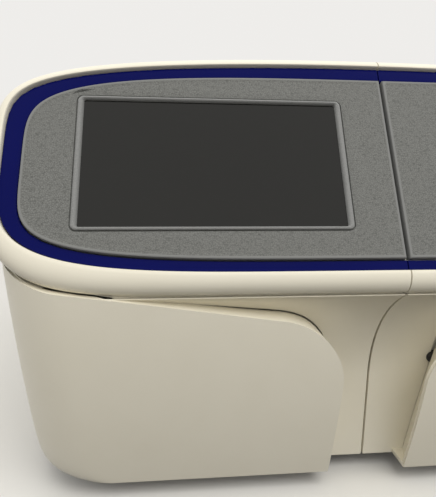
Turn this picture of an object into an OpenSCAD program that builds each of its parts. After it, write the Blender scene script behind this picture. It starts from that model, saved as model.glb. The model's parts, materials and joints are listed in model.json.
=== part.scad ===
// Benchtop sequencer. The cabinet stands on four rubber feet. A wide leaning visor closes its
// front: the left half is fixed and carries the touchscreen, the right half lifts over the
// loading bay. Two proud wing doors wrap the lower front corners, with a recessed neck between
// them. The origin is on the table under the middle of the cabinet, X to the right, Y to the
// back and Z up. The two halves meet at the seam in the plane X = 0.

/* [Visor] */
// Width across the visor's rim
visor_w = 552; // [546:1:560]
// Lean of the visor's face from horizontal, in degrees
lean = 62.5; // [61.5:0.5:63.5]
// Front-to-back place of the middle of the visor's face
visor_y = -268; // [-270:1:-266]
// Height of the middle of the visor's face
visor_z = 248; // [247:1:249]
// Rise of the navy band above the middle of the face
band_rise = 85.5; // [84:0.5:86]
// Drop of the navy band below the middle of the face
band_drop = 72; // [71:0.5:73]
// Width of the navy band at the sides
band_w = 13.5; // [11:0.5:15]
// Width of the navy band along the top
band_top_w = 12; // [10:0.5:14]
// Width of the navy band along the bottom
band_foot_w = 8; // [7:0.5:10]
// Thickness of the navy band
band_t = 3.5; // [2.5:0.5:4]
// Width of the rim beyond the band, at the top and the sides
rim_w = 9; // [7:0.5:10]
// Width of the rim below the band
rim_foot_w = 13; // [12:0.5:14]
// Extra width of the rim at its lower corners
rim_corner = 5; // [4:0.5:6]
// Height of the rim's crest above the fascia
rim_crest = 0.5; // [0:0.25:1]
// Depth of the rim behind the face, along the top
rim_depth = 26; // [22:1:27]
// Depth of the rim behind the face, along the bottom
rim_foot_depth = 12; // [11:1:13]
// Radius of the rim's roll from its crest to its side
rim_roll = 10; // [8:1:11]
// Height of the fascia above its pan
fascia_t = 6; // [5:0.5:6.5]
// Height of the bevel round the fascia
fascia_lip = 0.8; // [0.5:0.1:1.2]
// Gap round the fascia
fascia_gap = 1; // [0.6:0.1:1.2]
// Thickness of the pan behind the fascia
pan_t = 3; // [2:0.5:4]
// Gap between the two halves of the fascia
seam_gap = 2.4; // [1.6:0.1:3]
// Gap between the two halves of the shell
shell_seam = 0.8; // [0.4:0.1:1.2]

/* [Touchscreen] */
// Plain fascia at each side of the visible screen
screen_margin = 38; // [36:0.5:42]
// Height of the visible screen
screen_h = 93; // [88:1:95]
// Place of the screen's middle up the face
screen_up = 5; // [3:0.5:6]
// Width of the bevelled frame round the screen
frame_w = 5; // [4:0.5:6]
// Height of the frame above the fascia
frame_proud = 1; // [0.5:0.1:1.5]
// Depth of the glass below the fascia's face
glass_deep = 1.6; // [1.2:0.1:2]
// Thickness of the glass
glass_t = 1.8; // [1.4:0.1:2.4]
// Corner radius of the screen's opening
screen_r = 3; // [2:0.5:4]
// Thickness of the display module
lcd_t = 9; // [7:0.5:11]
// Distance from the frame to the groove round it
groove_out = 4; // [3:0.5:5]
// Width of the groove
groove_w = 0.7; // [0.5:0.1:1]

/* [Cabinet] */
// Half the width of the cabinet
side_x = 272; // [270:1:274]
// Height of the cabinet's top face
top_z = 321; // [319:1:322]
// Place of the cabinet's back edge
back_y = 304; // [300:1:330]
// Height of the feet
foot_h = 14; // [10:1:18]
// Radius of a foot
foot_r = 16; // [12:1:20]
// Wall of the covers
wall = 3; // [2.5:0.5:3.5]
// Gap between pieces that do not touch
gap = 0.3; // [0.2:0.05:0.4]
// Gap between the visor and the cabinet behind it
visor_gap = 2.5; // [2:0.25:3.5]
// Height of the middle of the lower side curve
flank_z = 180; // [176:1:184]
// Place of the recessed front between the doors
neck_y = -252.5; // [-254:0.5:-251]
// Radius of the cove under the visor
cove_r = 92.5; // [90:0.5:94]
// Height at which the cove runs into the recessed front
cove_z = 86.5; // [86:0.5:87]
// Sweep of the cove, in degrees
cove_sweep = 60; // [58:1:60]
// Height of the deck that carries the upper modules
deck_z = 191; // [190.5:0.5:193]

/* [Wing doors] */
// Distance from the seam to a door's free edge
door_in = 36; // [34:1:40]
// Height of a door at its free corner
door_top = 143; // [140:1:144]
// Radius of a door's free corner
door_r = 46; // [42:1:50]
// Rise of the door's top edge for each millimetre outward
door_slope = 0.14; // [0.13:0.01:0.15]
// Gap round a door
door_gap = 1.5; // [1.2:0.1:1.8]
// Thickness of a door's skin
door_t = 3; // [2.5:0.5:3.5]
// Place of the door's front face at its foot
door_foot_y = -272.6; // [-274:0.2:-272]
// Corner radius of the doors in plan
door_corner = 50; // [48:1:52]
// Place of the door's rear edge on the side
door_rear_y = -218; // [-219:0.5:-217]
// Distance from the seam to a door's pivot
pivot_x = 244; // [243:0.5:245]
// Front-to-back place of a door's pivot
pivot_y = -250; // [-251:0.5:-249]
// Radius of a pivot pin
pivot_r = 3; // [2.5:0.25:3.5]
// Running clearance of a pin in its bore
pin_fit = 0.05; // [0.02:0.01:0.08]
// Thickness of a pivot lug
lug_t = 6; // [5:0.5:7]
// Height of the lower lug
low_lug_z = 56; // [55:0.5:58]
// Height of the upper lug
high_lug_z = 134; // [126:1:136]

/* [Loading bay] */
// Inner edge of the loading bay
bay_in = 48; // [46:1:50]
// Outer edge of the loading bay
bay_out = 224; // [220:1:226]
// Back of the loading bay
bay_back = -60; // [-70:1:-50]
// Width of a tray rail
rail_w = 6; // [5:0.5:7]
// Height of a tray rail
rail_h = 5; // [4:0.5:6]
// Length of the tray
tray_len = 150; // [140:1:160]
// Place of the tray's front edge at rest
tray_front = -262; // [-263:1:-258]
// Height of the cartridge's deck above the tray
cartridge_h = 16; // [12:1:18]
// Radius of a cartridge well
well_r = 6; // [5:0.5:7]
// Place of the visor's hinge axis, front to back
hinge_y = -170; // [-172:1:-168]
// Drop of the visor's hinge axis below the cabinet's top
hinge_drop = 25; // [24:0.5:26]
// Radius of a visor hinge pin
hinge_r = 4; // [3.5:0.25:5]
// Thickness of a visor arm
arm_t = 6; // [5:0.5:6.5]

/* [Back] */
// Outer size of a fan
fan_size = 92; // [80:1:100]
// Thickness of a fan
fan_t = 25; // [22:1:28]
// Distance from the middle to a fan's axis
fan_x = 110; // [105:1:120]
// Height of a fan's axis
fan_z = 112; // [100:1:124]
// Radius of a fan's hub
hub_r = 19; // [17:0.5:21]
// Radius of a fan's shaft
shaft_r = 2; // [1.5:0.25:2.5]
// Clearance between the blades and their ring
tip_gap = 1.5; // [1:0.25:2]
// Width of the power inlet
inlet_w = 28; // [27:0.5:30]
// Height of the power inlet
inlet_h = 20; // [19.5:0.5:22]
// Place of the power inlet along X
inlet_x = -214; // [-216:1:-208]
// Height of the power inlet's middle
inlet_z = 62; // [58:1:66]
// Width of the power switch
switch_w = 14; // [13:0.5:15]
// Height of the power switch
switch_h = 21; // [20:0.5:23]

/* [Hidden] */

// Reach of a cut that runs past the part.
far = 400;

cream = [0.93, 0.90, 0.83];
navy = [0.05, 0.07, 0.32];
slate = [0.48, 0.49, 0.51];
dark = [0.12, 0.12, 0.12];
steel = [0.70, 0.71, 0.73];
clear = [0.75, 0.80, 0.82];

// Half widths and outlines of the visor, each as [half width, rise, drop].
band_half = visor_w / 2 - rim_w;
band_line = [band_half, band_rise, band_drop];
fascia_line = [band_half - band_w, band_rise - band_top_w, band_drop - band_foot_w];
// Exponents of the outlines: [rise along X, rise up, drop along X, drop up].
band_bend = [2.2, 6.4, 5.4, 3.8];
fascia_bend = [3.3, 5.2, 4.4, 5.1];
outline_steps = 36;

// One point on the right half of an outline. The angle runs from -90 at the bottom of the
// seam to 90 at its top, and the half width starts at the seam's own half gap.
function outline_at(line, bend, a, start) =
    let (up = a >= 0,
         px = up ? bend[0] : bend[2],
         py = up ? bend[1] : bend[3],
         reach = up ? line[1] : -line[2])
    [start + (line[0] - start) * pow(abs(cos(a)), 2 / px), reach * pow(abs(sin(a)), 2 / py)];

function outline_half(line, bend, start) =
    [for (i = [0 : outline_steps]) outline_at(line, bend, -90 + 180 * i / outline_steps, start)];

function grown(line, d) = [line[0] + d, line[1] + d, line[2] + d];

module half_sheet(line, bend, start) { polygon(outline_half(line, bend, start)); }

// Puts a flat shape on the visor's face: X across, Y up the face and Z out of it.
module on_visor() { translate([0, visor_y, visor_z]) rotate([lean, 0, 0]) children(); }

module sheet(low, high) { translate([0, 0, low]) linear_extrude(high - low) children(); }

// The left half of a shape that is drawn on the right.
module left() { mirror([1, 0, 0]) children(); }

// Runs a front view drawn in X and Z along Y.
module along_y(from, to) {
    translate([0, to, 0]) rotate([90, 0, 0]) linear_extrude(to - from) children();
}

// Runs a side view drawn in Y and Z along X.
module along_x(from, to) {
    translate([from, 0, 0]) rotate([90, 0, 90]) linear_extrude(to - from) children();
}

module box(low, high) { translate(low) cube(high - low); }

module rounded(w, h, r) { offset(r) square([w - 2 * r, h - 2 * r], center = true); }

pan_top = -fascia_t;
pan_low = pan_top - pan_t;

// --- Visor rim -------------------------------------------------------------------------

roll_steps = 8;

// Depth of the rim behind the face at a height up the face.
function rim_back(v) =
    rim_foot_depth + (rim_depth - rim_foot_depth) * (v + band_drop) / (band_rise + band_drop);

// Width of the rim beyond the band at a height up the face, widest at its lower corners.
function rim_reach(v, a) =
    rim_w + (rim_foot_w - rim_w) * pow(max(0, -v) / band_drop, 2)
    + (a < 0 ? rim_corner * pow(sin(2 * a), 2) : 0);

// Cross section of the rim, as [outward, out of the face], closed at the band's edge.
function rim_section(v, a) =
    let (reach = rim_reach(v, a), back = rim_back(v))
    concat([[0, -back]],
           [for (i = [0 : roll_steps])
                let (a = 90 * i / roll_steps)
                [reach * sin(a), -rim_roll + (rim_roll + rim_crest) * cos(a)]],
           [[reach, -back]]);

// Outward direction of the outline at step i.
function outline_out(pts, i) =
    let (n = len(pts) - 1,
         d = i == 0 || i == n ? [i == 0 ? 1 : -1, 0] : pts[i + 1] - pts[i - 1])
    [d[1], -d[0]] / norm(d);

module rim_half() {
    pts = outline_half(band_line, band_bend, shell_seam / 2);
    per = roll_steps + 3;
    ring = [for (i = [0 : outline_steps])
        for (s = rim_section(pts[i][1], -90 + 180 * i / outline_steps))
            concat(pts[i] + s[0] * outline_out(pts, i), s[1])];
    sides = [for (i = [0 : outline_steps - 1], j = [0 : per - 1])
        [i * per + j, i * per + (j + 1) % per, (i + 1) * per + (j + 1) % per, (i + 1) * per + j]];
    foot = [[for (j = [per - 1 : -1 : 0]) j]];
    head = [[for (j = [0 : per - 1]) outline_steps * per + j]];
    on_visor() polyhedron(ring, concat(sides, foot, head), convexity = 6);
}

module left_rim() { color(cream) left() rim_half(); }
module right_rim() { color(cream) rim_half(); }

// --- Navy band and fascia --------------------------------------------------------------

module band_half_ring() {
    on_visor() sheet(pan_top, pan_top + band_t) difference() {
        half_sheet(grown(band_line, -gap), band_bend, shell_seam / 2);
        half_sheet(grown(fascia_line, fascia_gap), fascia_bend, -1);
    }
}

module left_band() { color(navy) left() band_half_ring(); }
module right_band() { color(navy) band_half_ring(); }

module fascia_half() {
    on_visor() {
        sheet(pan_top, -fascia_lip) half_sheet(fascia_line, fascia_bend, seam_gap / 2);
        sheet(-fascia_lip, 0) half_sheet(grown(fascia_line, -fascia_lip), fascia_bend,
                                         seam_gap / 2 + fascia_lip);
    }
}

screen_w = fascia_line[0] - 2 * screen_margin;
screen_x = -fascia_line[0] / 2;
frame_out_w = screen_w + 2 * frame_w;
frame_out_h = screen_h + 2 * frame_w;

module at_screen() { on_visor() translate([screen_x, screen_up, 0]) children(); }

module left_fascia() {
    color(slate) difference() {
        left() fascia_half();
        at_screen() {
            sheet(pan_top - 1, 1)
                rounded(frame_out_w + 2 * gap, frame_out_h + 2 * gap, screen_r + frame_w);
            sheet(-groove_w, 1) difference() {
                rounded(frame_out_w + 2 * groove_out + 2 * groove_w,
                        frame_out_h + 2 * groove_out + 2 * groove_w, screen_r + groove_out);
                rounded(frame_out_w + 2 * groove_out, frame_out_h + 2 * groove_out,
                        screen_r + groove_out);
            }
        }
    }
}

module right_fascia() { color(slate) fascia_half(); }

// --- Touchscreen -----------------------------------------------------------------------

module frame_ring(low, high, inset) {
    sheet(low, high) difference() {
        rounded(frame_out_w - 2 * inset, frame_out_h - 2 * inset, screen_r + frame_w - inset);
        rounded(screen_w, screen_h, screen_r);
    }
}

module screen_frame() {
    color(slate) at_screen() {
        frame_ring(-glass_deep, frame_proud / 2, 0);
        frame_ring(frame_proud / 2, frame_proud, frame_w / 4);
    }
}

module touch_glass() {
    color(dark) at_screen() sheet(-glass_deep - glass_t, -glass_deep)
        rounded(frame_out_w, frame_out_h, screen_r + frame_w);
}

lcd_top = -glass_deep - glass_t - gap;
lcd_w = screen_w + frame_w;
lcd_h = screen_h + frame_w;

module lcd_module() {
    color(steel) at_screen() {
        sheet(lcd_top - lcd_t, lcd_top) square([lcd_w, lcd_h], center = true);
        for (side = [-1, 1]) translate([side * lcd_w / 4, 0, 0])
            sheet(lcd_top - lcd_t - 4, lcd_top - lcd_t) square([lcd_w / 3, lcd_h / 2], center = true);
    }
}

// --- Pans behind the visor -------------------------------------------------------------

pan_line = grown(band_line, -gap);
skirt_in = 16;
skirt_h = 6;

module pan_half() {
    sheet(pan_low, pan_top) half_sheet(pan_line, band_bend, shell_seam / 2);
    sheet(pan_low - skirt_h, pan_low) difference() {
        half_sheet(grown(pan_line, -skirt_in), band_bend, skirt_in);
        half_sheet(grown(pan_line, -skirt_in - pan_t), band_bend, skirt_in + pan_t);
    }
}

module visor_frame() {
    color(dark) difference() {
        on_visor() left() pan_half();
        at_screen() sheet(pan_low - skirt_h - 1, 1)
            square([lcd_w + 2 * gap, lcd_h + 2 * gap], center = true);
    }
}

module visor_pan() { color(cream) on_visor() pan_half(); }

// --- Visor hinge -----------------------------------------------------------------------

hinge_z = top_z - hinge_drop;
arm_inset = 3;
arm_x = [bay_in - wall - arm_inset - arm_t, bay_out + wall + arm_inset];
elbow = [hinge_y - 2, hinge_z - 44];
wrist = [hinge_y - 46, hinge_z - 50];
reach_y = hinge_y - 96;
arm_r = 7;

module arm_side_view() {
    hull() {
        translate([hinge_y, hinge_z]) circle(arm_r + 1, $fn = 32);
        translate(elbow) circle(arm_r, $fn = 32);
    }
    hull() {
        translate(elbow) circle(arm_r, $fn = 32);
        translate(wrist) circle(arm_r, $fn = 32);
    }
    hull() {
        translate(wrist) circle(arm_r, $fn = 32);
        translate([reach_y, wrist[1]]) circle(arm_r * 2, $fn = 32);
    }
}

module visor_arms() {
    color(steel) difference() {
        for (x = arm_x) along_x(x, x + arm_t) arm_side_view();
        for (x = arm_x) translate([x - 1, hinge_y, hinge_z]) rotate([0, 90, 0])
            cylinder(r = hinge_r + pin_fit, h = arm_t + 2, $fn = 64);
        on_visor() translate([-visor_w / 2, -visor_w / 2, pan_low - gap])
            cube([visor_w, visor_w, visor_w / 4]);
    }
}

module visor_pins() {
    color(steel) for (k = [0, 1]) {
        inner = k == 0 ? bay_in - wall : bay_out + wall;
        out = k == 0 ? -1 : 1;
        translate([inner, hinge_y, hinge_z]) rotate([0, 90 * out, 0]) {
            cylinder(r = hinge_r, h = arm_inset + arm_t + 1, $fn = 64);
            translate([0, 0, arm_inset + arm_t + 0.5]) cylinder(r = hinge_r + 3, h = 2, $fn = 48);
            cylinder(r = hinge_r + 3, h = arm_inset - 0.5, $fn = 48);
        }
    }
}

// --- Cabinet ---------------------------------------------------------------------------

cover_mid = visor_z;
// Exponents of the flank's lower curve, across and down, and its taper toward the foot.
flank_bend = [30, 20];
flank_taper = 0.025;
crown_bend = [2.4, 6.4];
flank_steps = 20;

// Right half of the cabinet's front view, from the bottom of the seam to its top.
function cabinet_half(inset) =
    let (half = side_x - inset, rise = top_z - cover_mid - inset, drop = flank_z - foot_h - inset)
    concat([for (i = [0 : flank_steps])
                let (a = 90 - 90 * i / flank_steps, fall = pow(sin(a), 2 / flank_bend[1]))
                [half * (1 - flank_taper * fall) * pow(cos(a), 2 / flank_bend[0]),
                 flank_z - drop * fall]],
           [for (i = [0 : flank_steps])
                let (a = 90 * i / flank_steps)
                [half * pow(cos(a), 2 / crown_bend[0]),
                 cover_mid + rise * pow(sin(a), 2 / crown_bend[1])]]);

function both_halves(pts) =
    concat(pts, [for (i = [len(pts) - 2 : -1 : 1]) [-pts[i][0], pts[i][1]]]);

module cabinet_view(inset) { polygon(both_halves(cabinet_half(inset))); }

// A point on the plane behind the rim, at a height up the face and a distance behind it.
function behind(v, d) =
    [visor_y + v * cos(lean) + d * sin(lean), visor_z + v * sin(lean) - d * cos(lean)];

top_back = behind(band_rise + rim_w, rim_depth + visor_gap);
low_back = behind(-band_drop - rim_foot_w, rim_foot_depth + visor_gap);
slope_y = (top_back[0] - low_back[0]) / (top_back[1] - low_back[1]);
// Place of that plane at a height above the table.
function back_plane(z) = low_back[0] + slope_y * (z - low_back[1]);

cover_front = door_rear_y + 4;
back_r = 18;

module cover_side_view() {
    polygon(concat(
        [[cover_front, foot_h - 1], [back_y, foot_h - 1]],
        [for (i = [0 : 8]) [back_y - back_r + back_r * cos(90 * i / 8),
                            top_z - back_r + back_r * sin(90 * i / 8)]],
        [[back_plane(top_z), top_z], [back_plane(deck_z), deck_z], [cover_front, deck_z]]));
}

slot_n = 12;
slot_pitch = 9;
slot_w = 4;
slot_len = 52;

module side_slots() {
    for (i = [0 : slot_n - 1]) translate([0, back_y - 60 - i * slot_pitch, 0]) {
        along_x(side_x - 40, side_x + 10) translate([0, 90])
            offset(slot_w / 2 - 0.1) square([0.2, slot_len], center = true);
    }
}

floor_half = 222;

module cover() {
    color(cream) difference() {
        intersection() {
            union() {
                difference() {
                    along_y(-far, back_y) cabinet_view(0);
                    along_y(-far - 1, back_y + 10) cabinet_view(wall);
                }
                screw_tabs(screw_high - tab_half, top_z - wall);
            }
            along_y(-far, back_y) cabinet_view(0);
            along_x(-far, far) cover_side_view();
        }
        screw_holes(screw_r);
        box([-floor_half, -far, foot_h - 5], [floor_half, back_y + 10, foot_h + 2 * wall + 2]);
        side_slots();
        left() side_slots();
    }
}

pan_front = -200;
panel_y = back_y - 8;
foot_x = 190;
foot_y = [-170, 250];

// The rear panel's screws, their places and the tabs they bite into.
screw_r = 1.5;
screw_x = [-200, -70, 70, 200];
screw_low = foot_h + 20;
screw_high = top_z - 21;
tab_t = 2;
tab_half = 7;

module screw_holes(r) {
    for (x = screw_x, z = [screw_low, screw_high]) translate([x, panel_y + 10, z]) rotate([90, 0, 0])
        cylinder(r = r, h = 20, $fn = 32);
}

// Upright tabs behind the rear panel, from one height to another.
module screw_tabs(low, high) {
    for (x = screw_x) box([x - tab_half, panel_y - tab_t, low], [x + tab_half, panel_y, high]);
}

module base_pan() {
    color(steel) difference() {
        union() {
            box([-floor_half + gap, pan_front, foot_h], [floor_half - gap, panel_y, foot_h + wall]);
            for (s = [-1, 1]) box([s * (floor_half - 10) - 1, pan_front, foot_h + wall],
                                  [s * (floor_half - 10) + 1, panel_y, foot_h + 22]);
            screw_tabs(foot_h, screw_low + tab_half);
        }
        screw_holes(screw_r);
        for (x = [-1, 1], y = foot_y) translate([x * foot_x, y, foot_h - 1])
            cylinder(r = 3.2, h = wall + 2, $fn = 32);
    }
}

module feet() {
    color(dark) for (x = [-1, 1], y = foot_y) translate([x * foot_x, y, 0]) difference() {
        union() {
            cylinder(r1 = foot_r - 2, r2 = foot_r, h = foot_h - 3, $fn = 64);
            translate([0, 0, foot_h - 3]) cylinder(r = foot_r, h = 3, $fn = 64);
            translate([0, 0, foot_h]) cylinder(r = 3, h = wall + 1, $fn = 32);
            translate([0, 0, foot_h + wall]) cylinder(r = 5, h = 2, $fn = 32);
        }
        translate([0, 0, -1]) cylinder(r = 5, h = 5, $fn = 32);
    }
}

module deck() {
    front = back_plane(deck_z) + 2;
    edge = side_x - wall - gap;
    color(steel) sheet(deck_z, deck_z + wall) polygon([
        [-206, front], [206, front], [edge - 9, cover_front], [edge, cover_front],
        [edge, panel_y - 30], [-edge, panel_y - 30], [-edge, cover_front], [-edge + 9, cover_front]]);
}

// Upright web between the base pan and the deck.
bulkhead_y = -96;

module bulkhead() {
    color(steel) difference() {
        box([-floor_half + 14, bulkhead_y, foot_h + wall], [floor_half - 14, bulkhead_y + 2, deck_z]);
        for (x = [-90, 0, 90]) translate([x, bulkhead_y + 3, 70]) rotate([90, 0, 0])
            cylinder(r = 14, h = 4, $fn = 48);
    }
}

// --- Cove and neck ---------------------------------------------------------------------

cove_mid_y = neck_y - cove_r;
cove_steps = 16;
door_side_x = 300;

cove_end_y = cove_mid_y + cove_r * cos(cove_sweep);
cove_end_z = cove_z + cove_r * sin(cove_sweep);
// Gap between the visor's foot and the wall that turns up behind it.
chin_gap = 1.4;
chin = behind(-band_drop - rim_foot_w, rim_foot_depth + chin_gap);

// Side view of the cove's face, from the foot of the neck to the deck.
cove_face = concat(
    [[neck_y, foot_h - 20], [neck_y, cove_z]],
    [for (i = [1 : cove_steps])
        let (a = cove_sweep * i / cove_steps)
        [cove_mid_y + cove_r * cos(a), cove_z + cove_r * sin(a)]],
    [chin, [back_plane(deck_z) + 2, deck_z], [back_plane(deck_z) + 2, deck_z + 20]]);

// Everything behind the cove's face, set back by a distance.
module behind_cove(d) {
    difference() {
        translate([-far, 0]) square([far + pan_front - 4, deck_z + 10]);
        offset(delta = d) polygon(concat(cove_face, [[-far - 1, deck_z + 20], [-far - 1, foot_h - 20]]));
    }
}

module front_band() { translate([-far, foot_h]) square([far, deck_z - foot_h]); }

// Front view of a door, grown by a distance: a free edge, a round corner and a rising top
// that sweeps up under the rim's corner from one place along X, by a rise at the door's side.
sweep_x = 228;
sweep_rise = 13;
function door_edge_z(x, d) =
    door_top + d + door_slope * (x - door_in)
    + sweep_rise * pow(max(0, x - sweep_x) / (side_x - sweep_x), 2);
door_foot_gap = 2;

function door_view(d) = concat(
    [[door_in - d, foot_h + door_foot_gap - d],
     [door_in - d, door_top - door_r]],
    [for (i = [1 : 8])
        let (a = 90 * i / 8, r = door_r + d, x = door_in + door_r - r * cos(a))
        [x, door_edge_z(x, d) - r * (1 - sin(a))]],
    [for (x = [sweep_x : 12 : door_side_x]) [x, door_edge_z(x, d)]],
    [[door_side_x, foot_h + door_foot_gap - d]]);

module door_prism(d, to) { along_y(-340, to) polygon(door_view(d)); }

pocket_x = 193;
// Outer end of the cove above the doors.
cove_out = 238;
bay_open_in = 66;
bay_open_out = 182;
bay_low = 30;
bay_high = 132;

module front_half() {
    start = shell_seam / 2;
    difference() {
        union() {
            along_x(start, cove_out) intersection() {
                front_band();
                difference() {
                    behind_cove(0);
                    behind_cove(wall);
                }
            }
            intersection() {
                along_x(start, pocket_x + wall) behind_cove(0);
                difference() {
                    door_prism(door_gap + wall, neck_y + wall);
                    door_prism(door_gap, neck_y);
                }
            }
            box([pocket_x - 1, neck_y, foot_h], [pocket_x + wall, pan_front - 5, deck_z]);
            box([start, neck_y, foot_h], [pocket_x, pan_front - gap, foot_h + wall]);
            box([start, neck_y + wall, foot_h + wall], [start + 2, pan_front - 5, deck_z]);
        }
        door_prism(door_gap, neck_y);
        box([pocket_x + wall, -330, 0], [door_side_x, 0, door_edge_z(pocket_x, door_gap)]);
        box([0, -330, deck_z - gap], [door_side_x, 0, deck_z + 20]);
        box([bay_open_in, neck_y - 1, bay_low], [bay_open_out, neck_y + wall + 1, bay_high]);
    }
}

module left_front() { color(cream) left() resize([0, 0, 0]) front_half(); }
module right_front() { color(cream) resize([0, 0, 0]) front_half(); }

// --- Wing doors ------------------------------------------------------------------------

door_rings = 9;
door_arc = 8;
door_low = foot_h;
door_high = deck_z + 4;

// Front face of a door at a height: it bows forward toward the top.
function door_face(z) =
    let (h = z - foot_h) door_foot_y - 0.28 * h + 0.00062 * h * h;

// Half width of the cabinet's flank at a height.
function flank_x(z) =
    let (fall = max(0, flank_z - z) / (flank_z - foot_h))
    side_x * (1 - flank_taper * fall) * pow(1 - pow(min(fall, 0.99), flank_bend[1]), 1 / flank_bend[0]);

// Plan of the door's solid at a height, set in by a distance.
function door_plan(z, d) =
    let (half = flank_x(z) - d, face = door_face(z) + d, r = door_corner - d)
    concat([[door_in - 10, door_rear_y], [door_in - 10, face], [door_in + 60, face]],
           [for (i = [0 : door_arc])
                let (a = 90 * i / door_arc)
                [half - r + r * sin(a), face + r - r * cos(a)]],
           [[half, door_rear_y]]);

module door_solid(d) {
    low = door_low - d;
    per = door_arc + 5;
    rings = [for (k = [0 : door_rings])
        let (z = low + (door_high - low) * pow(k / door_rings, 1.6))
        for (p = door_plan(z, d)) [p[0], p[1], z]];
    sides = [for (k = [0 : door_rings - 1], j = [0 : per - 1])
        [k * per + j, (k + 1) * per + j, (k + 1) * per + (j + 1) % per, k * per + (j + 1) % per]];
    foot = [[for (j = [0 : per - 1]) j]];
    head = [[for (j = [per - 1 : -1 : 0]) door_rings * per + j]];
    polyhedron(rings, concat(sides, foot, head), convexity = 4);
}

module door_half() {
    resize([0, 0, 0]) {
        intersection() {
            difference() {
                door_solid(0);
                door_solid(door_t);
            }
            door_prism(0, door_rear_y);
        }
        intersection() {
            difference() {
                door_prism(0, door_rear_y);
                door_prism(-door_t, door_rear_y + 1);
            }
            door_solid(0);
            along_x(door_in - 1, door_side_x) difference() {
                front_band();
                behind_cove(-door_gap);
                translate([pan_front - 5, 0]) square([60, deck_z + 20]);
            }
        }
    }
}

module left_door() { color(cream) left() door_half(); }
module right_door() { color(cream) door_half(); }

lug_z = [low_lug_z, high_lug_z];
lug_pad_x = 196;
lug_pad_w = 22;

module lugs_half() {
    for (z = lug_z) {
        face = door_face(z) + door_t + gap;
        difference() {
            translate([0, 0, z]) linear_extrude(lug_t) hull() {
                translate([pivot_x, pivot_y]) circle(pivot_r + 5, $fn = 32);
                translate([lug_pad_x, face]) square([lug_pad_w, 6]);
            }
            translate([pivot_x, pivot_y, z - 1])
                cylinder(r = pivot_r + pin_fit, h = lug_t + 2, $fn = 48);
        }
    }
}

module left_lugs() { color(steel) left() lugs_half(); }
module right_lugs() { color(steel) lugs_half(); }

bracket_half = 6.5;
bracket_t = 4;

module pivots_half() {
    for (k = [0, 1]) {
        z = k == 0 ? lug_z[0] - bracket_t - gap : lug_z[1] + lug_t + gap;
        translate([0, 0, z]) linear_extrude(bracket_t) hull() {
            translate([pivot_x, pivot_y]) circle(bracket_half, $fn = 32);
            translate([pocket_x + wall, pivot_y - bracket_half]) square([1, 2 * bracket_half]);
        }
        translate([pivot_x, pivot_y, lug_z[k] - gap]) cylinder(r = pivot_r, h = lug_t + 2 * gap, $fn = 48);
        translate([pocket_x + wall, pivot_y - bracket_half, z - 8]) cube([2, 2 * bracket_half, 20]);
    }
}

module door_pivots() {
    color(steel) {
        pivots_half();
        left() pivots_half();
    }
}

module door_catches() {
    color(dark) for (s = [-1, 1], z = [46, 100]) translate([s * 52, neck_y, z]) rotate([90, 0, 0])
        cylinder(r = 5, h = 6, $fn = 48);
}

// --- Bays behind the doors -------------------------------------------------------------

bay_depth = 120;

module bay_half() {
    out = wall - 1;
    y = neck_y + wall;
    difference() {
        box([bay_open_in - out, y, bay_low - out], [bay_open_out + out, y + bay_depth, bay_high + out]);
        box([bay_open_in, y - 1, bay_low], [bay_open_out, y + bay_depth - out, bay_high]);
    }
}

module left_bay() { color(cream) left() bay_half(); }
module right_bay() { color(cream) bay_half(); }

bottle_r = 26;
bottle_h = 66;
bottle_x = [-(bay_open_in + bottle_r + 4), -(bay_open_out - bottle_r - 4)];
bottle_y = neck_y + wall + bottle_r + 8;
neck_r = 12;

module bottles() {
    color(clear) for (x = bottle_x) translate([x, bottle_y, bay_low]) rotate_extrude($fn = 72)
        polygon(concat(
            [[0, 0], [bottle_r - 3, 0], [bottle_r, 3]],
            [for (i = [0 : 8]) let (a = 90 * i / 8)
                [neck_r + 2 + (bottle_r - neck_r - 2) * cos(a), bottle_h - 14 + 14 * sin(a)]],
            [[neck_r, bottle_h + 2], [neck_r, bottle_h + 14], [0, bottle_h + 14]]));
}

module bottle_caps() {
    color(navy) for (x = bottle_x) translate([x, bottle_y, bay_low + bottle_h + 4]) difference() {
        union() {
            cylinder(r = neck_r + 4, h = 14, $fn = 72);
            for (i = [0 : 23]) rotate(i * 15) translate([neck_r + 4, 0, 0])
                cylinder(r = 0.8, h = 12, $fn = 16);
        }
        translate([0, 0, -1]) cylinder(r = neck_r + gap, h = 11, $fn = 72);
    }
}

filter_y = neck_y + wall + 20;
filter_t = 24;

module filter_frame() {
    color(cream) difference() {
        box([bay_open_in + gap, filter_y, bay_low], [bay_open_out - gap, filter_y + filter_t, bay_high - 1]);
        box([bay_open_in + 7, filter_y - 1, bay_low + 7],
            [bay_open_out - 7, filter_y + filter_t + 1, bay_high - 8]);
    }
}

pleats = 15;

module filter_pleats() {
    low = bay_open_in + 7;
    step = (bay_open_out - 7 - low) / pleats;
    front = filter_y + 3;
    depth = filter_t - 8;
    color([0.9, 0.9, 0.86]) translate([0, 0, bay_low + 7]) linear_extrude(bay_high - bay_low - 15)
        polygon(concat(
            [for (i = [0 : 2 * pleats]) [low + i * step / 2, front + (i % 2) * depth]],
            [for (i = [2 * pleats : -1 : 0]) [low + i * step / 2, front + (i % 2) * depth + 1.6]]));
}

// --- Loading bay -----------------------------------------------------------------------

floor_z = deck_z + wall;
bay_top = hinge_z + 8;

module bay_wall_view() {
    polygon([[back_plane(floor_z) + 3, floor_z], [back_plane(bay_top) + 3, bay_top],
             [bay_back, bay_top], [bay_back, floor_z]]);
}

module bay_liner() {
    color(cream) difference() {
        union() {
            along_x(bay_in - wall, bay_in) bay_wall_view();
            along_x(bay_out, bay_out + wall) bay_wall_view();
            box([bay_in, bay_back - wall, floor_z], [bay_out, bay_back, bay_top]);
        }
        for (x = [bay_in - wall, bay_out]) translate([x - 1, hinge_y, hinge_z]) rotate([0, 90, 0])
            cylinder(r = hinge_r - 1, h = wall + 2, $fn = 48);
    }
}

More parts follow.
